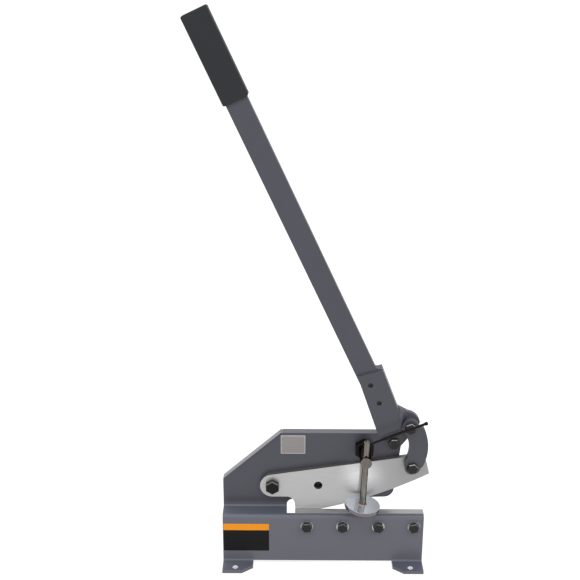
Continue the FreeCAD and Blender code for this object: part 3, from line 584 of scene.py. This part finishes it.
# The moving blade: painted shade and reflection on its edges, and painted light along its
# cutting edge near the pivot.
MOVING_STEEL = BladeSteel("moving_blade_steel", (0.43, 0.428, 0.427), (0.475, 0.472, 0.47),
                          (0.62, 0.62, 0.62), roughness=0.36, spread=0.1, metallic=0.6,
                          fine=700.0, bump=0.000004, grain=Grain.ALONG_X, edge_radius=0.0004,
                          dark_side_colour=(0.17, 0.165, 0.16))
FIXED_STEEL = Finish("fixed_blade_steel", (0.37, 0.36, 0.365), (0.43, 0.418, 0.424),
                     (0.45, 0.44, 0.43), roughness=0.4, spread=0.14, metallic=0.8,
                     fine=700.0, bump=0.00001, grain=Grain.ALONG_X, edge_radius=0.0004)
# Black fasteners with painted highlights on the upper chamfers and painted sheen on top; their
# brighter worn edges are partly wear and partly painted highlight.
BLACK_OXIDE = HeadBlack("black_oxide", (0.003, 0.003, 0.0032), (0.007, 0.007, 0.0072),
                        (0.14, 0.14, 0.14))
CLAMP_BLACK = replace(BLACK_OXIDE, name="clamp_black", chamfer_highlight_colour=(0.1, 0.1, 0.1),
                      top_sheen_colour=(0.015, 0.015, 0.015))
PIVOT_BLACK = replace(BLACK_OXIDE, name="pivot_black", colour=(0.002, 0.002, 0.0018),
                      second=(0.004, 0.004, 0.0036), edge=(0.10, 0.10, 0.095), roughness=0.24,
                      wear=0.6, specular=0.16, chamfer_highlight_colour=(0.16, 0.155, 0.15),
                      top_sheen_colour=(0.02, 0.019, 0.016))
OILED_BLACK = Finish("oiled_black", (0.002, 0.002, 0.0022), (0.004, 0.004, 0.0042),
                     (0.05, 0.05, 0.05), roughness=0.24, spread=0.12, fine=1200.0,
                     bump=0.00001, wear=0.5, edge_radius=0.0005, specular=0.12)
BRIGHT_ZINC = Finish("bright_zinc", (0.42, 0.42, 0.43), (0.52, 0.52, 0.53),
                     (0.7, 0.7, 0.7), roughness=0.26, spread=0.12, metallic=0.95,
                     fine=800.0, bump=0.00001, edge_radius=0.0004)
DISC_ZINC = Finish("disc_zinc", (0.57, 0.605, 0.66), (0.67, 0.705, 0.76), (0.8, 0.8, 0.8),
                   roughness=0.06, spread=0.05, metallic=0.78, fine=500.0, bump=0.000002,
                   edge_radius=0.0005, dark_side_colour=(0.165, 0.145, 0.16),
                   ground=Ground.ALONG_Z)
STUD_CHROME = Finish("stud_chrome", (0.11, 0.094, 0.084), (0.17, 0.15, 0.137),
                     (0.6, 0.58, 0.55), roughness=0.2, spread=0.1, metallic=1.0, fine=400.0,
                     bump=0.000004, edge_radius=0.0006, rim_tint=(0.3, 0.27, 0.25))
# Its strong lengthwise streaks are partly drawn marks and partly painted reflection.
SPINDLE_CHROME = replace(STUD_CHROME, name="spindle_chrome", colour=(0.045, 0.038, 0.032),
                         second=(0.25, 0.23, 0.21), edge=(0.7, 0.68, 0.65), roughness=0.09,
                         spread=0.06, fine=330.0, grain=Grain.ALONG_Z, edge_radius=0.0004)
NAMEPLATE_SKIN = Finish("nameplate_skin", (0.36, 0.35, 0.35), (0.42, 0.41, 0.41),
                        (0.7, 0.7, 0.7), roughness=0.4, metallic=0.6, fine=600.0,
                        grain=Grain.ALONG_X, bump=0.000005, edge_radius=0.0003)
NAMEPLATE_FIELD = replace(NAMEPLATE_SKIN, name="nameplate_field", colour=(0.25, 0.235, 0.23),
                          second=(0.29, 0.275, 0.27), edge=(0.4, 0.4, 0.4), roughness=0.45,
                          metallic=0.5, edge_radius=0.0002)
LABEL_BAND = Finish("label_band", (0.98, 0.335, 0.02), (1.0, 0.35, 0.024), (0.9, 0.4, 0.12),
                    roughness=0.35, fine=300.0, bump=0.0, wear=0.0, edge_radius=0.0002,
                    specular=0.12)
LABEL_FIELD = replace(LABEL_BAND, name="label_field", colour=(0.005, 0.005, 0.0055),
                      second=(0.007, 0.007, 0.0075), edge=(0.03, 0.03, 0.03), roughness=0.32)
HOLE_SHADE = Finish("hole_shade", (0.018, 0.016, 0.02), (0.026, 0.023, 0.028),
                    (0.05, 0.05, 0.05), roughness=0.5, wear=0.0, specular=0.2)
WELD_BEAD = Finish("weld_bead", (0.28, 0.22, 0.17), (0.36, 0.30, 0.25), (0.45, 0.4, 0.36),
                   roughness=0.45, metallic=0.8, fine=500.0, bump=0.00008, edge_radius=0.0005)

DRESSED: dict[str, Finish] = {
    node: finish
    for finish, nodes in (
        (FRAME_PAINT, "front_frame_plate rear_frame_plate"),
        (LEVER_PAINT, "lever_plate socket_front_plate socket_web handle_bar"),
        (LINK_PAINT, "link"),
        (GRIP_SKIN, "handle_grip"),
        (MOVING_STEEL, "moving_blade"),
        (FIXED_STEEL, "fixed_blade"),
        (STUD_CHROME, "hold_down_stud"),
        (SPINDLE_CHROME, "hold_down_spindle"),
        (OILED_BLACK, "hold_down_lock_nut hold_down_rear_nut turning_bar"),
        (PIVOT_BLACK, "blade_pivot_bolt"),
        (DISC_ZINC, "pressure_disc"),
    )
    for node in nodes.split()
}


def finish_of(node: str) -> Finish:
    """The finish of a carried-over node: its own, or by its kind of fastener.

    Args:
        node: The node's name.

    Returns:
        The finish.
    """
    if node in DRESSED:
        return DRESSED[node]
    if "washer" in node:
        return BRIGHT_ZINC
    return CLAMP_BLACK if node.startswith("blade_bolt") else BLACK_OXIDE


def scene_object(name: str, data: bpy.types.ID) -> bpy.types.Object:
    """Make an object of its data and put it into the scene.

    Args:
        name: The object's name.
        data: Its mesh, lamp or camera.

    Returns:
        The object.
    """
    thing = bpy.data.objects.new(name, data)
    bpy.context.scene.collection.objects.link(thing)
    return thing


def mesh_piece(name: str, points: Grid, faces: list[tuple[int, ...]], finish: Finish,
               body: Body, smooth: bool = False) -> bpy.types.Object:
    """Make a piece from points and faces, dress it and let it ride on a body.

    Args:
        name: The piece's name.
        points: An array of N points.
        faces: The faces as tuples of point numbers.
        finish: Its finish.
        body: The body it rides on.
        smooth: Whether its faces are shaded smooth.

    Returns:
        The piece.
    """
    mesh = bpy.data.meshes.new(name)
    mesh.from_pydata(points.reshape(-1, 3).tolist(), [], faces)
    mesh.update()
    mesh.polygons.foreach_set("use_smooth", [smooth] * len(mesh.polygons))
    piece = scene_object(name, mesh)
    finish.dress(piece)
    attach(piece, body.value)
    LOG.info("made %s, %d faces", name, len(mesh.polygons))
    return piece


def grid_faces(rows: int, columns: int, wrap: bool) -> list[tuple[int, ...]]:
    """Quads of a grid whose points run row by row.

    Args:
        rows: The number of rows.
        columns: The number of points in a row.
        wrap: Whether each row closes on itself.

    Returns:
        The faces.
    """
    row = np.arange(rows - 1)[:, None]
    last = columns if wrap else columns - 1
    column = np.arange(last)[None, :]
    after = (column + 1) % columns
    quads = np.stack(
        [row * columns + column, row * columns + after, (row + 1) * columns + after,
         (row + 1) * columns + column], axis=-1)
    return [tuple(quad) for quad in quads.reshape(-1, 4).tolist()]


def unit_grid(across: int, up: int) -> tuple[Grid, Grid]:
    """Two values that run from 0 to 1 over a grid of so many points across and up."""
    return np.meshgrid(np.linspace(0.0, 1.0, across), np.linspace(0.0, 1.0, up))


def closed_slab(flat: Grid, front: Grid, back: Grid) -> tuple[Grid, list[tuple[int, ...]]]:
    """Close a sheet in the XZ plane to a solid piece between two depths.

    Args:
        flat: X and Z of the sheet's rows by columns points.
        front: Y of its front at each point.
        back: Y of its back at each point.

    Returns:
        The points and the faces.
    """
    rows, columns = front.shape
    sheets = [np.stack([flat[..., 0], depth, flat[..., 1]], axis=-1).reshape(-1, 3)
              for depth in (front, back)]
    count = rows * columns
    faces = grid_faces(rows, columns, wrap=False)
    faces += [tuple(reversed([point + count for point in face])) for face in faces]
    index = np.arange(count).reshape(rows, columns)
    rim = np.concatenate([index[0, :-1], index[:-1, -1], index[-1, :0:-1], index[:0:-1, 0]])
    after = np.roll(rim, -1)
    walls = np.stack([after, rim, rim + count, after + count], axis=-1)
    faces += [tuple(wall) for wall in walls.tolist()]
    return np.concatenate(sheets), faces


def rounded_outline(width: float, height: float, radius: float) -> Grid:
    """Outline of a rounded rectangle about the origin, anticlockwise in its own plane.

    Each corner is a quarter circle about a centre that lies one radius inside both sides.

    Args:
        width: The rectangle's width.
        height: Its height.
        radius: Its corner radius.

    Returns:
        The points.
    """
    turn = np.linspace(0.0, math.pi / 2, 7)
    signs = np.array([(1, 1), (-1, 1), (-1, -1), (1, -1)], float)
    centres = signs * np.array([width / 2 - radius, height / 2 - radius])
    angles = turn[None, :] + np.arange(4)[:, None] * math.pi / 2
    arcs = np.stack([np.cos(angles), np.sin(angles)], axis=-1) * radius
    return (centres[:, None, :] + arcs).reshape(-1, 2)


@dataclass
class Plate:
    """A thin rounded plate that lies on a face that looks at the user.

    Attributes:
        name: The piece's name.
        centre: Its centre on the face, X and Z.
        face: Y of the face that it lies on.
        width: Its width.
        height: Its height.
        thick: Its thickness.
        corner: Its corner radius.
        crown: Size of the rounding round its front.
    """

    name: str
    centre: Pair
    face: float
    width: float
    height: float
    thick: float = 0.0004
    corner: float = 0.0015
    crown: float = 0.0001

    def build(self, finish: Finish, body: Body) -> bpy.types.Object:
        """Loft the outline from the face to the front, draw it in at the rim and close it.

        Args:
            finish: Its finish.
            body: The body it rides on.

        Returns:
            The piece.
        """
        inset = np.array([0.0, 0.0, self.crown])
        depth = np.array([0.0, self.thick - self.crown, self.thick])
        rings = []
        for draw, out in zip(inset, depth):
            flat = rounded_outline(self.width - 2 * draw, self.height - 2 * draw,
                                   self.corner - draw)
            y = np.full(len(flat), self.face - out)
            x, z = flat.T + np.array(self.centre)[:, None]
            rings.append(np.stack([x, y, z], axis=-1))
        points = np.concatenate(rings)
        count = len(rings[0])
        faces = grid_faces(len(rings), count, wrap=True)
        faces.append(tuple(range((len(rings) - 1) * count, len(rings) * count)))
        faces.append(tuple(range(count - 1, -1, -1)))
        return mesh_piece(self.name, points, faces, finish, body)


# Radius at which the ends of a turned piece close, by a last small face.
POLE = 0.0002


def turned(name: str, profile: Grid, centre: Vector, axis: Vector, finish: Finish, body: Body,
           steps: int = 48) -> bpy.types.Object:
    """Turn a profile about an axis.

    Args:
        name: The piece's name.
        profile: Points of radius and height along the axis, from the first pole to the last.
        centre: The point on the axis that heights are counted from.
        axis: The axis.
        finish: The finish.
        body: The body it rides on.
        steps: Points round the axis.

    Returns:
        The piece.
    """
    angle = np.linspace(0.0, 2 * math.pi, steps, endpoint=False)
    along = axis.normalized()
    side = axis.orthogonal().normalized()
    ring = (np.cos(angle)[:, None] * np.array(side)
            + np.sin(angle)[:, None] * np.array(along.cross(side)))
    points = (np.array(centre) + profile[:, 0, None, None] * ring[None, :, :]
              + profile[:, 1, None, None] * np.array(along))
    faces = grid_faces(len(profile), steps, wrap=True)
    faces.append(tuple(range(steps - 1, -1, -1)))
    faces.append(tuple(range((len(profile) - 1) * steps, len(profile) * steps)))
    return mesh_piece(name, points, faces, finish, body, smooth=True)


@dataclass
class FrameTrim:
    """Plates that lie on the frame.

    Attributes:
        plate_thick: Thickness of the frame plates, whose upper parts stand back to back.
        nameplate_size: Width and height of the bare nameplate.
        nameplate_place: Its centre, X and Z.
        label_size: Width and height of the bare label.
        label_place: The label's centre, X and Z.
        band_share: Share of the label's height that its coloured band takes.
        nameplate_border: Width of the nameplate's bright border.
        slope: Lower and upper end of the upper plates' slope, X and Z.
        slope_lift: How far the photograph's slope lies above it, at either end.
        slope_sink: How far below it the strip starts.
        slope_inset: How far the strip's lowest part lies inside the plates' faces.
        inset_share: Over what share of its height that is so.
    """

    plate_thick: float = 0.007
    nameplate_size: Pair = (0.0405, 0.0338)
    nameplate_place: Pair = (-0.0503, 0.2077)
    label_size: Pair = (0.0755, 0.0515)
    label_place: Pair = (-0.1272, 0.0502)
    band_share: float = 0.235
    nameplate_border: float = 0.0017
    slope: tuple[Pair, ...] = ((-0.1659, 0.1390), (-0.0670, 0.2289))
    slope_lift: Pair = (0.0046, 0.0030)
    slope_sink: float = 0.0015
    slope_inset: float = 0.0001
    inset_share: float = 0.25

    def build(self) -> None:
        """Lay the nameplate on the upper plate and the two-part label on the lower one."""
        lower_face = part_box("fixed_blade")[0].y - self.plate_thick
        upper_face = -self.plate_thick
        Plate("nameplate", self.nameplate_place, upper_face, *self.nameplate_size,
              thick=0.0007, corner=0.001, crown=0.0002).build(NAMEPLATE_SKIN, Body.FRAME)
        inner = [side - 2 * self.nameplate_border for side in self.nameplate_size]
        Plate("nameplate_field", self.nameplate_place, upper_face, *inner,
              thick=0.0008, corner=0.0005, crown=0.0001).build(NAMEPLATE_FIELD, Body.FRAME)
        width, height = self.label_size
        band = height * self.band_share
        x, z = self.label_place
        Plate("label_band", (x, z + (height - band) / 2), lower_face, width, band,
              corner=0.001).build(LABEL_BAND, Body.FRAME)
        Plate("label_field", (x, z - band / 2), lower_face, width, height - band,
              corner=0.001).build(LABEL_FIELD, Body.FRAME)
        self.slope_strip()

    def slope_strip(self) -> None:
        """Lift the upper plates' slope: a strip whose upper edge is a line over the old one.

        The strip starts inside the plates and reaches their faces where it leaves them. At its
        upper end it stops at the height of the plates' top.
        """
        t, share = unit_grid(across=25, up=5)
        low, high = (np.array(point) for point in self.slope)
        old = low + (high - low) * t[..., None]
        lift = self.slope_lift[0] + (self.slope_lift[1] - self.slope_lift[0]) * t
        top = old[..., 1] + lift
        steep = (high[1] - low[1]) / (high[0] - low[0])
        over = np.maximum(top - high[1], 0.0)
        new = np.stack([old[..., 0] - over / steep, top - over], axis=-1)
        start = old - np.array([0.0, self.slope_sink])
        flat = start + (new - start) * share[..., None]
        inset = self.slope_inset * np.clip(1.0 - share / self.inset_share, 0.0, 1.0)
        slab = closed_slab(flat, inset - self.plate_thick, self.plate_thick - inset)
        mesh_piece("slope_strip", *slab, FRAME_PAINT, Body.FRAME)


@dataclass
class HoldDownTrim:
    """Details of the hold-down: its swivelled disc with a weld ring, and the bar's knob.

    Attributes:
        spindle_radius: Radius of the spindle.
        disc_radius: Radius of the pressure disc.
        disc_thick: Its thickness.
        disc_lean: How far it swivelled to the right on the spindle's end, in degrees.
        disc_lift: How far its top stands above the spindle's end.
        disc_corner: Radius of its rounded corners.
        disc_rim: Width of the ring beside each corner that takes up the corner's shading.
        ring_radius: Radius of the weld ring's centre line.
        bead: Radius of the bead.
        bar_radius: Radius of the turning bar.
        bar_lean: Rise of the turning bar to the right, in degrees.
        knob_radius: Radius of the knob on the bar's upper end.
        knob_long: Length of the knob.
        knob_round: Power of the sine that rounds its ends, blunter as it is smaller.
        knob_pole: Share of its radius at which its ends close.
    """

    spindle_radius: float = 0.0051
    disc_radius: float = 0.0287
    disc_thick: float = 0.0065
    disc_lean: float = 6.8
    disc_lift: float = 0.0006
    disc_corner: float = 0.0003
    disc_rim: float = 0.0008
    ring_radius: float = 0.0056
    bead: float = 0.0016
    bar_radius: float = 0.0022
    bar_lean: float = 22.8
    knob_radius: float = 0.003
    knob_long: float = 0.0055
    knob_round: float = 0.35
    knob_pole: float = 0.2

    def build(self) -> None:
        """Make the disc and both details."""
        self.disc()
        self.weld_ring()
        self.knob()

    def knob(self) -> None:
        """Turn a short sleeve about the bar's end, with ends rounded by a power of a sine."""
        low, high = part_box("turning_bar")
        lean = math.radians(self.bar_lean)
        axis = Vector((math.cos(lean), 0.0, math.sin(lean)))
        end = Vector((high.x - self.bar_radius * math.sin(lean), (low.y + high.y) / 2,
                      high.z - self.bar_radius * math.cos(lean)))
        turn = np.linspace(0.0, math.pi, 15)
        radius = self.knob_radius * np.sin(turn) ** self.knob_round
        along = -self.knob_long / 2 * (1.0 + np.cos(turn))
        radius[[0, -1]] = self.knob_radius * self.knob_pole
        turned("turning_bar_knob", np.stack([radius, along], axis=-1), end, axis, OILED_BLACK,
               Body.SPINDLE, steps=24)

    def disc_seat(self) -> tuple[Vector, Vector]:
        """Where the disc's top meets the spindle, and the direction that it looks in.

        Returns:
            The top's centre and the axis.
        """
        low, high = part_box("hold_down_spindle")
        lean = math.radians(self.disc_lean)
        centre = Vector((low.x + self.spindle_radius, (low.y + high.y) / 2,
                         low.z + self.disc_lift))
        return centre, Vector((math.sin(lean), 0.0, math.cos(lean)))

    def disc(self) -> None:
        """Turn a rectangle about the leaning axis, with a quarter circle at each corner."""
        turn = np.linspace(0.0, math.pi / 2, 5)
        flat = self.disc_radius - self.disc_corner
        half_radius = np.concatenate([[POLE, flat - self.disc_rim],
                                      flat + self.disc_corner * np.sin(turn)])
        half_rise = np.concatenate([[0.0, 0.0], self.disc_corner * (1.0 - np.cos(turn))])
        radius = np.concatenate([half_radius, half_radius[::-1]])
        along = np.concatenate([half_rise - self.disc_thick, -half_rise[::-1]])
        centre, axis = self.disc_seat()
        piece = turned("swivelled_disc", np.stack([radius, along], axis=-1), centre, axis,
                       DISC_ZINC, Body.SPINDLE, steps=96)
        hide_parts("pressure_disc")

    def weld_ring(self) -> None:
        """Turn the bead's half circle about the disc's axis, where the spindle meets it."""
        centre, axis = self.disc_seat()
        turn = np.linspace(math.pi, 0.0, 9)
        profile = np.stack([self.ring_radius + self.bead * np.cos(turn[::-1]),
                            self.bead * np.sin(turn)], axis=-1)
        turned("disc_weld", profile[::-1], centre, axis, WELD_BEAD, Body.SPINDLE)


@dataclass
class BladeTrim:
    """A dark plug in the open hole of the moving blade: painted shade where the hole shows.

    Attributes:
        place: The hole's centre, X and Z.
        radius: Radius of the plug that closes it.
        front: Y of the plug's face.
        thick: Its thickness.
    """

    place: Pair = (-0.0086, 0.137)
    radius: float = 0.0069
    front: float = -0.0102
    thick: float = 0.0008

    def build(self) -> None:
        """Turn a flat plug, a rectangle in section, about the hole's axis."""
        profile = np.array([(POLE, 0.0), (self.radius, 0.0), (self.radius, self.thick),
                            (POLE, self.thick)])
        centre = Vector((self.place[0], self.front + self.thick, self.place[1]))
        turned("blade_hole_shade_plug", profile, centre, Vector((0.0, -1.0, 0.0)), HOLE_SHADE,
               Body.BLADE, steps=32)


@dataclass
class LeverTrim:
    """The fairing beside the lever's socket, the link's wider side and the slot's cover.

    Attributes:
        socket_foot: Lower end of the fairing's edge on the socket, X and Z.
        top_edge: Left and right end of its upper edge on the lever plate, X and Z.
        ring_middle: Centre of the link bolt, X and Z.
        ring_radius: Radius of its edge round the link's eye.
        ring_turn: Where that edge begins and ends, in degrees.
        socket_face: Y of the socket's front.
        wing_face: Y of the lever plate's front.
        side_middle: Centre of the link's outer arc, X and Z.
        side_radius: Radius of that arc.
        side_wide: How far the piece reaches inwards from it.
        side_turn: Where the arc begins and ends, in degrees.
        side_round: Over how many degrees its lower and its upper end are rounded.
        side_depth: Y of its front and its back.
        cover_place: Centre of the slot's cover, X and Z.
        cover_size: Width and height of the cover.
        cover_face: Y of the cover's back.
        roll_start: Share of the fairing's height at which it begins to roll over.
        foot_reach: Share of its width over which its lower edge leaves the socket's foot.
        seat: How far its back lies behind the plate's front and its front stays before it.
    """

    socket_foot: Pair = (0.1192, 0.2450)
    top_edge: tuple[Pair, ...] = ((0.1192, 0.2807), (0.1316, 0.2741))
    ring_middle: Pair = (0.1380, 0.2505)
    ring_radius: float = 0.0147
    ring_turn: Pair = (188.0, 111.0)
    socket_face: float = -0.0327
    wing_face: float = -0.0165
    side_middle: Pair = (0.0866, 0.2127)
    side_radius: float = 0.0815
    side_wide: float = 0.0085
    side_turn: Pair = (-30.5, 29.0)
    side_round: Pair = (7.0, 4.0)
    side_depth: Pair = (-0.0262, -0.0172)
    cover_place: Pair = (0.1476, 0.1785)
    cover_size: Pair = (0.0372, 0.0172)
    cover_face: float = -0.01652
    roll_start: float = 0.4
    foot_reach: float = 0.3
    seat: Pair = (0.0002, 0.0001)

    def build(self) -> None:
        """Make the fairing, the link's wider side and the cover."""
        self.fairing()
        self.link_side()
        Plate("slot_cover", self.cover_place, self.cover_face, *self.cover_size,
              thick=0.0003, corner=0.0078, crown=0.0).build(MOVING_STEEL, Body.LINK)

    def fairing(self) -> None:
        """Fall from the socket to the plate by 3u^2 - 2u^3, and roll over to it at the top.

        The piece spans the lever plate's front from the socket (u = 0) to the crown (u = 1)
        and from the ring round the link bolt (v = 0) to the plate's upper edge (v = 1). Its
        depth is a quarter of an ellipse over v's upper part. Its back is flat.
        """
        u, turn = unit_grid(across=17, up=17)
        rest = 1.0 - self.roll_start
        roll = np.clip((turn - self.roll_start) / rest, 0.0, 1.0) * np.pi / 2
        v = np.where(turn < self.roll_start, turn, self.roll_start + rest * np.sin(roll))
        angle = np.radians(self.ring_turn[0] + (self.ring_turn[1] - self.ring_turn[0]) * u)
        ring = self.ring_radius * np.stack([np.cos(angle), np.sin(angle)], axis=-1)
        ring += np.array(self.ring_middle)
        wall = np.array(self.socket_foot)
        low = wall + (ring - wall) * np.clip(u / self.foot_reach, 0.0, 1.0)[..., None]
        left, right = (np.array(point) for point in self.top_edge)
        high = left + (right - left) * u[..., None]
        flat = low + (high - low) * v[..., None]
        fall = 1.0 - 3.0 * u ** 2 + 2.0 * u ** 3
        front = self.wing_face + (self.socket_face - self.wing_face) * fall * np.cos(roll)
        back = np.full_like(front, self.wing_face + self.seat[0])
        front = np.minimum(front, self.wing_face - self.seat[1])
        mesh_piece("socket_fairing", *closed_slab(flat, front, back), LEVER_PAINT, Body.LEVER,
                   smooth=True)

    def link_side(self) -> None:
        """Widen the link on its bowed side, to an arc round side_middle.

        Over the arc's angle t the outer radius is side_radius, less side_wide times
        1 - sqrt(1 - w^2) near either end, where w grows from 0 to 1 over the last degrees. The
        inner radius lies inside the link.
        """
        t, share = unit_grid(across=49, up=3)
        low, high = self.side_turn
        angle = high + (low - high) * 0.5 * (1.0 - np.cos(np.pi * t))
        from_high = (high - angle) / self.side_round[1]
        from_low = (angle - low) / self.side_round[0]
        near = np.clip(1.0 - np.minimum(from_high, from_low), 0.0, 1.0)
        drop = self.side_wide * (1.0 - np.sqrt(1.0 - near ** 2))
        radius = self.side_radius - self.side_wide + (self.side_wide - drop) * share
        turn = np.radians(angle)
        flat = np.stack([radius * np.cos(turn), radius * np.sin(turn)], axis=-1)
        flat += np.array(self.side_middle)
        front, back = (np.full_like(t, depth) for depth in self.side_depth)
        slab = closed_slab(flat[:, ::-1], front, back)
        mesh_piece("link_side", *slab, LINK_PAINT, Body.LINK)


WHITE = (1.0, 1.0, 1.0, 1.0)


@dataclass
class Studio:
    """The floor, the lamps and the camera.

    Attributes:
        pitch: How far the camera looks down, in degrees.
        roll: Its turn about its own axis, in degrees.
        place: Where the camera stands.
        sight: How far it sees.
        sensor: Width of its sensor in millimetres.
        focal_pixels: Its focal length in pixels of the photograph.
        frame_pixels: Width and height of the photograph in pixels.
        centre_pixels: Where its axis meets the picture, in pixels.
        floor_reach: Half the floor's side.
        floor_drop: How far the floor lies below the feet.
        paper: Grey of the floor in the lamps' light.
        paper_glow: Strength of the light that it is seen with besides.
        ambient: Strength of the light from all around.
        lamp_power: Power that the soft lamps share, in watts.
        lamps: Each soft lamp's place, aim, width and height, and share of that power.
        gleam: Place and aim of the narrow lamp that gives the blade the gleam off the disc,
            its cone in degrees and its power in watts.
        gleam_soft: Radius of the narrow lamp's source.
    """

    pitch: float = 20.0
    roll: float = 0.3
    place: Point = (-0.0452, -1.4567, 1.0041)
    sight: float = 240.0
    sensor: float = 36.0
    focal_pixels: float = 1000.0
    frame_pixels: float = 580.0
    centre_pixels: Pair = (297.0, 290.0)
    floor_reach: float = 60.0
    floor_drop: float = 0.0003
    paper: float = 0.36
    paper_glow: float = 0.78
    ambient: float = 0.84
    lamp_power: float = 26.0
    lamps: tuple[tuple[Point, Point, Pair, float], ...] = (
        ((-1.2, -2.2, 2.6), (0.0, 0.0, 0.3), (1.8, 1.8), 0.55),
        ((1.8, -1.4, 1.6), (0.0, 0.0, 0.3), (1.4, 1.4), 0.5),
        ((-1.5, 1.1, 2.4), (0.0, 0.0, 0.3), (1.8, 1.8), 0.9),
        ((0.1, -1.5, 2.9), (0.0, 0.0, 0.2), (2.8, 0.4), 0.7),
    )
    gleam: tuple[Point, Point, float, float] = (
        (0.063, -1.2, 0.125), (0.063, -0.0165, 0.154), 3.2, 70.0)
    gleam_soft: float = 0.02

    def build(self) -> None:
        """Make the camera, the lamps, the world and the floor."""
        self.camera()
        self.soft_lamps()
        self.gleam_lamp()
        self.world()
        self.floor()

    def camera(self) -> None:
        """Place the camera at the photograph's view."""
        data = bpy.data.cameras.new("camera")
        data.sensor_width = self.sensor
        data.lens = self.sensor * self.focal_pixels / self.frame_pixels
        data.shift_x = (self.frame_pixels / 2 - self.centre_pixels[0]) / self.frame_pixels
        data.shift_y = (self.centre_pixels[1] - self.frame_pixels / 2) / self.frame_pixels
        data.clip_end = self.sight
        camera = scene_object("camera", data)
        turn = (Matrix.Rotation(math.radians(90.0 - self.pitch), 4, "X")
                @ Matrix.Rotation(math.radians(self.roll), 4, "Z"))
        camera.matrix_world = Matrix.Translation(Vector(self.place)) @ turn
        bpy.context.scene.camera = camera

    def hang(self, data: bpy.types.Light, place: Point, aim: Point, power: float) -> None:
        """Hang a lamp and turn it to its aim.

        Args:
            data: The lamp's own data.
            place: Where it hangs.
            aim: What it looks at.
            power: Its power in watts.
        """
        data.energy = power
        lamp = scene_object(data.name, data)
        lamp.location = place
        look = Vector(aim) - Vector(place)
        lamp.rotation_euler = look.to_track_quat("-Z", "Y").to_euler()

    def soft_lamps(self) -> None:
        """Hang the large rectangular lamps."""
        for number, (place, aim, size, share) in enumerate(self.lamps):
            data = bpy.data.lights.new(f"soft_lamp_{number + 1}", "AREA")
            data.shape = "RECTANGLE"
            data.size, data.size_y = size
            self.hang(data, place, aim, self.lamp_power * share)

    def gleam_lamp(self) -> None:
        """Hang the narrow lamp whose soft round patch stands for light thrown by the disc."""
        place, aim, cone, power = self.gleam
        data = bpy.data.lights.new("gleam_lamp", "SPOT")
        data.spot_size = math.radians(cone)
        data.spot_blend = 1.0
        data.shadow_soft_size = self.gleam_soft
        self.hang(data, place, aim, power)

    def seen_directly(self, graph: Graph) -> Socket:
        """1 for rays from the camera, a mirror or glass, and 0 for the rest.

        Args:
            graph: The nodes that the value goes into.

        Returns:
            The value.
        """
        path = graph.add("ShaderNodeLightPath")
        glossy = graph.maths("MAXIMUM", path.outputs["Is Camera Ray"],
                             path.outputs["Is Glossy Ray"])
        return graph.maths("MAXIMUM", glossy, path.outputs["Is Transmission Ray"])

    def world(self) -> None:
        """Light the object evenly from all around, and show white behind it."""
        world = bpy.data.worlds.new("studio_world")
        world.use_nodes = True
        bpy.context.scene.world = world
        world.node_tree.nodes.clear()
        graph = Graph(world.node_tree)
        dim = graph.add("ShaderNodeBackground", WHITE, self.ambient)
        white = graph.add("ShaderNodeBackground", WHITE, 1.0)
        mix = graph.add("ShaderNodeMixShader", self.seen_directly(graph), dim.outputs[0],
                         white.outputs[0])
        graph.add("ShaderNodeOutputWorld", mix.outputs[0])

    def floor(self) -> None:
        """Lay a large pale floor that shows white and keeps the object's shadow."""
        corners = self.floor_reach * np.array([(-1, -1, 0), (1, -1, 0), (1, 1, 0), (-1, 1, 0)])
        mesh = bpy.data.meshes.new("floor")
        mesh.from_pydata(corners.tolist(), [], [(0, 1, 2, 3)])
        floor = scene_object("floor", mesh)
        floor.location.z = -self.floor_drop
        made = bpy.data.materials.new("floor_paper")
        made.use_nodes = True
        made.node_tree.nodes.clear()
        graph = Graph(made.node_tree)
        paper = graph.add("ShaderNodeBsdfDiffuse", (*[self.paper] * 3, 1.0))
        strength = graph.times(self.seen_directly(graph), self.paper_glow)
        glow = graph.add("ShaderNodeEmission", WHITE, strength)
        both = graph.add("ShaderNodeAddShader", paper.outputs[0], glow.outputs[0])
        graph.add("ShaderNodeOutputMaterial", both.outputs[0])
        mesh.materials.append(made)


def main() -> None:
    """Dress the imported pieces, add the trim and set up the studio."""
    logging.basicConfig(level=logging.INFO, format="%(message)s")
    bpy.context.scene.view_settings.view_transform = "Standard"
    for name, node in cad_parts.items():
        finish_of(name).dress(node)
    FrameTrim().build()
    HoldDownTrim().build()
    BladeTrim().build()
    LeverTrim().build()
    Studio().build()


if __name__ == "__main__":
    main()
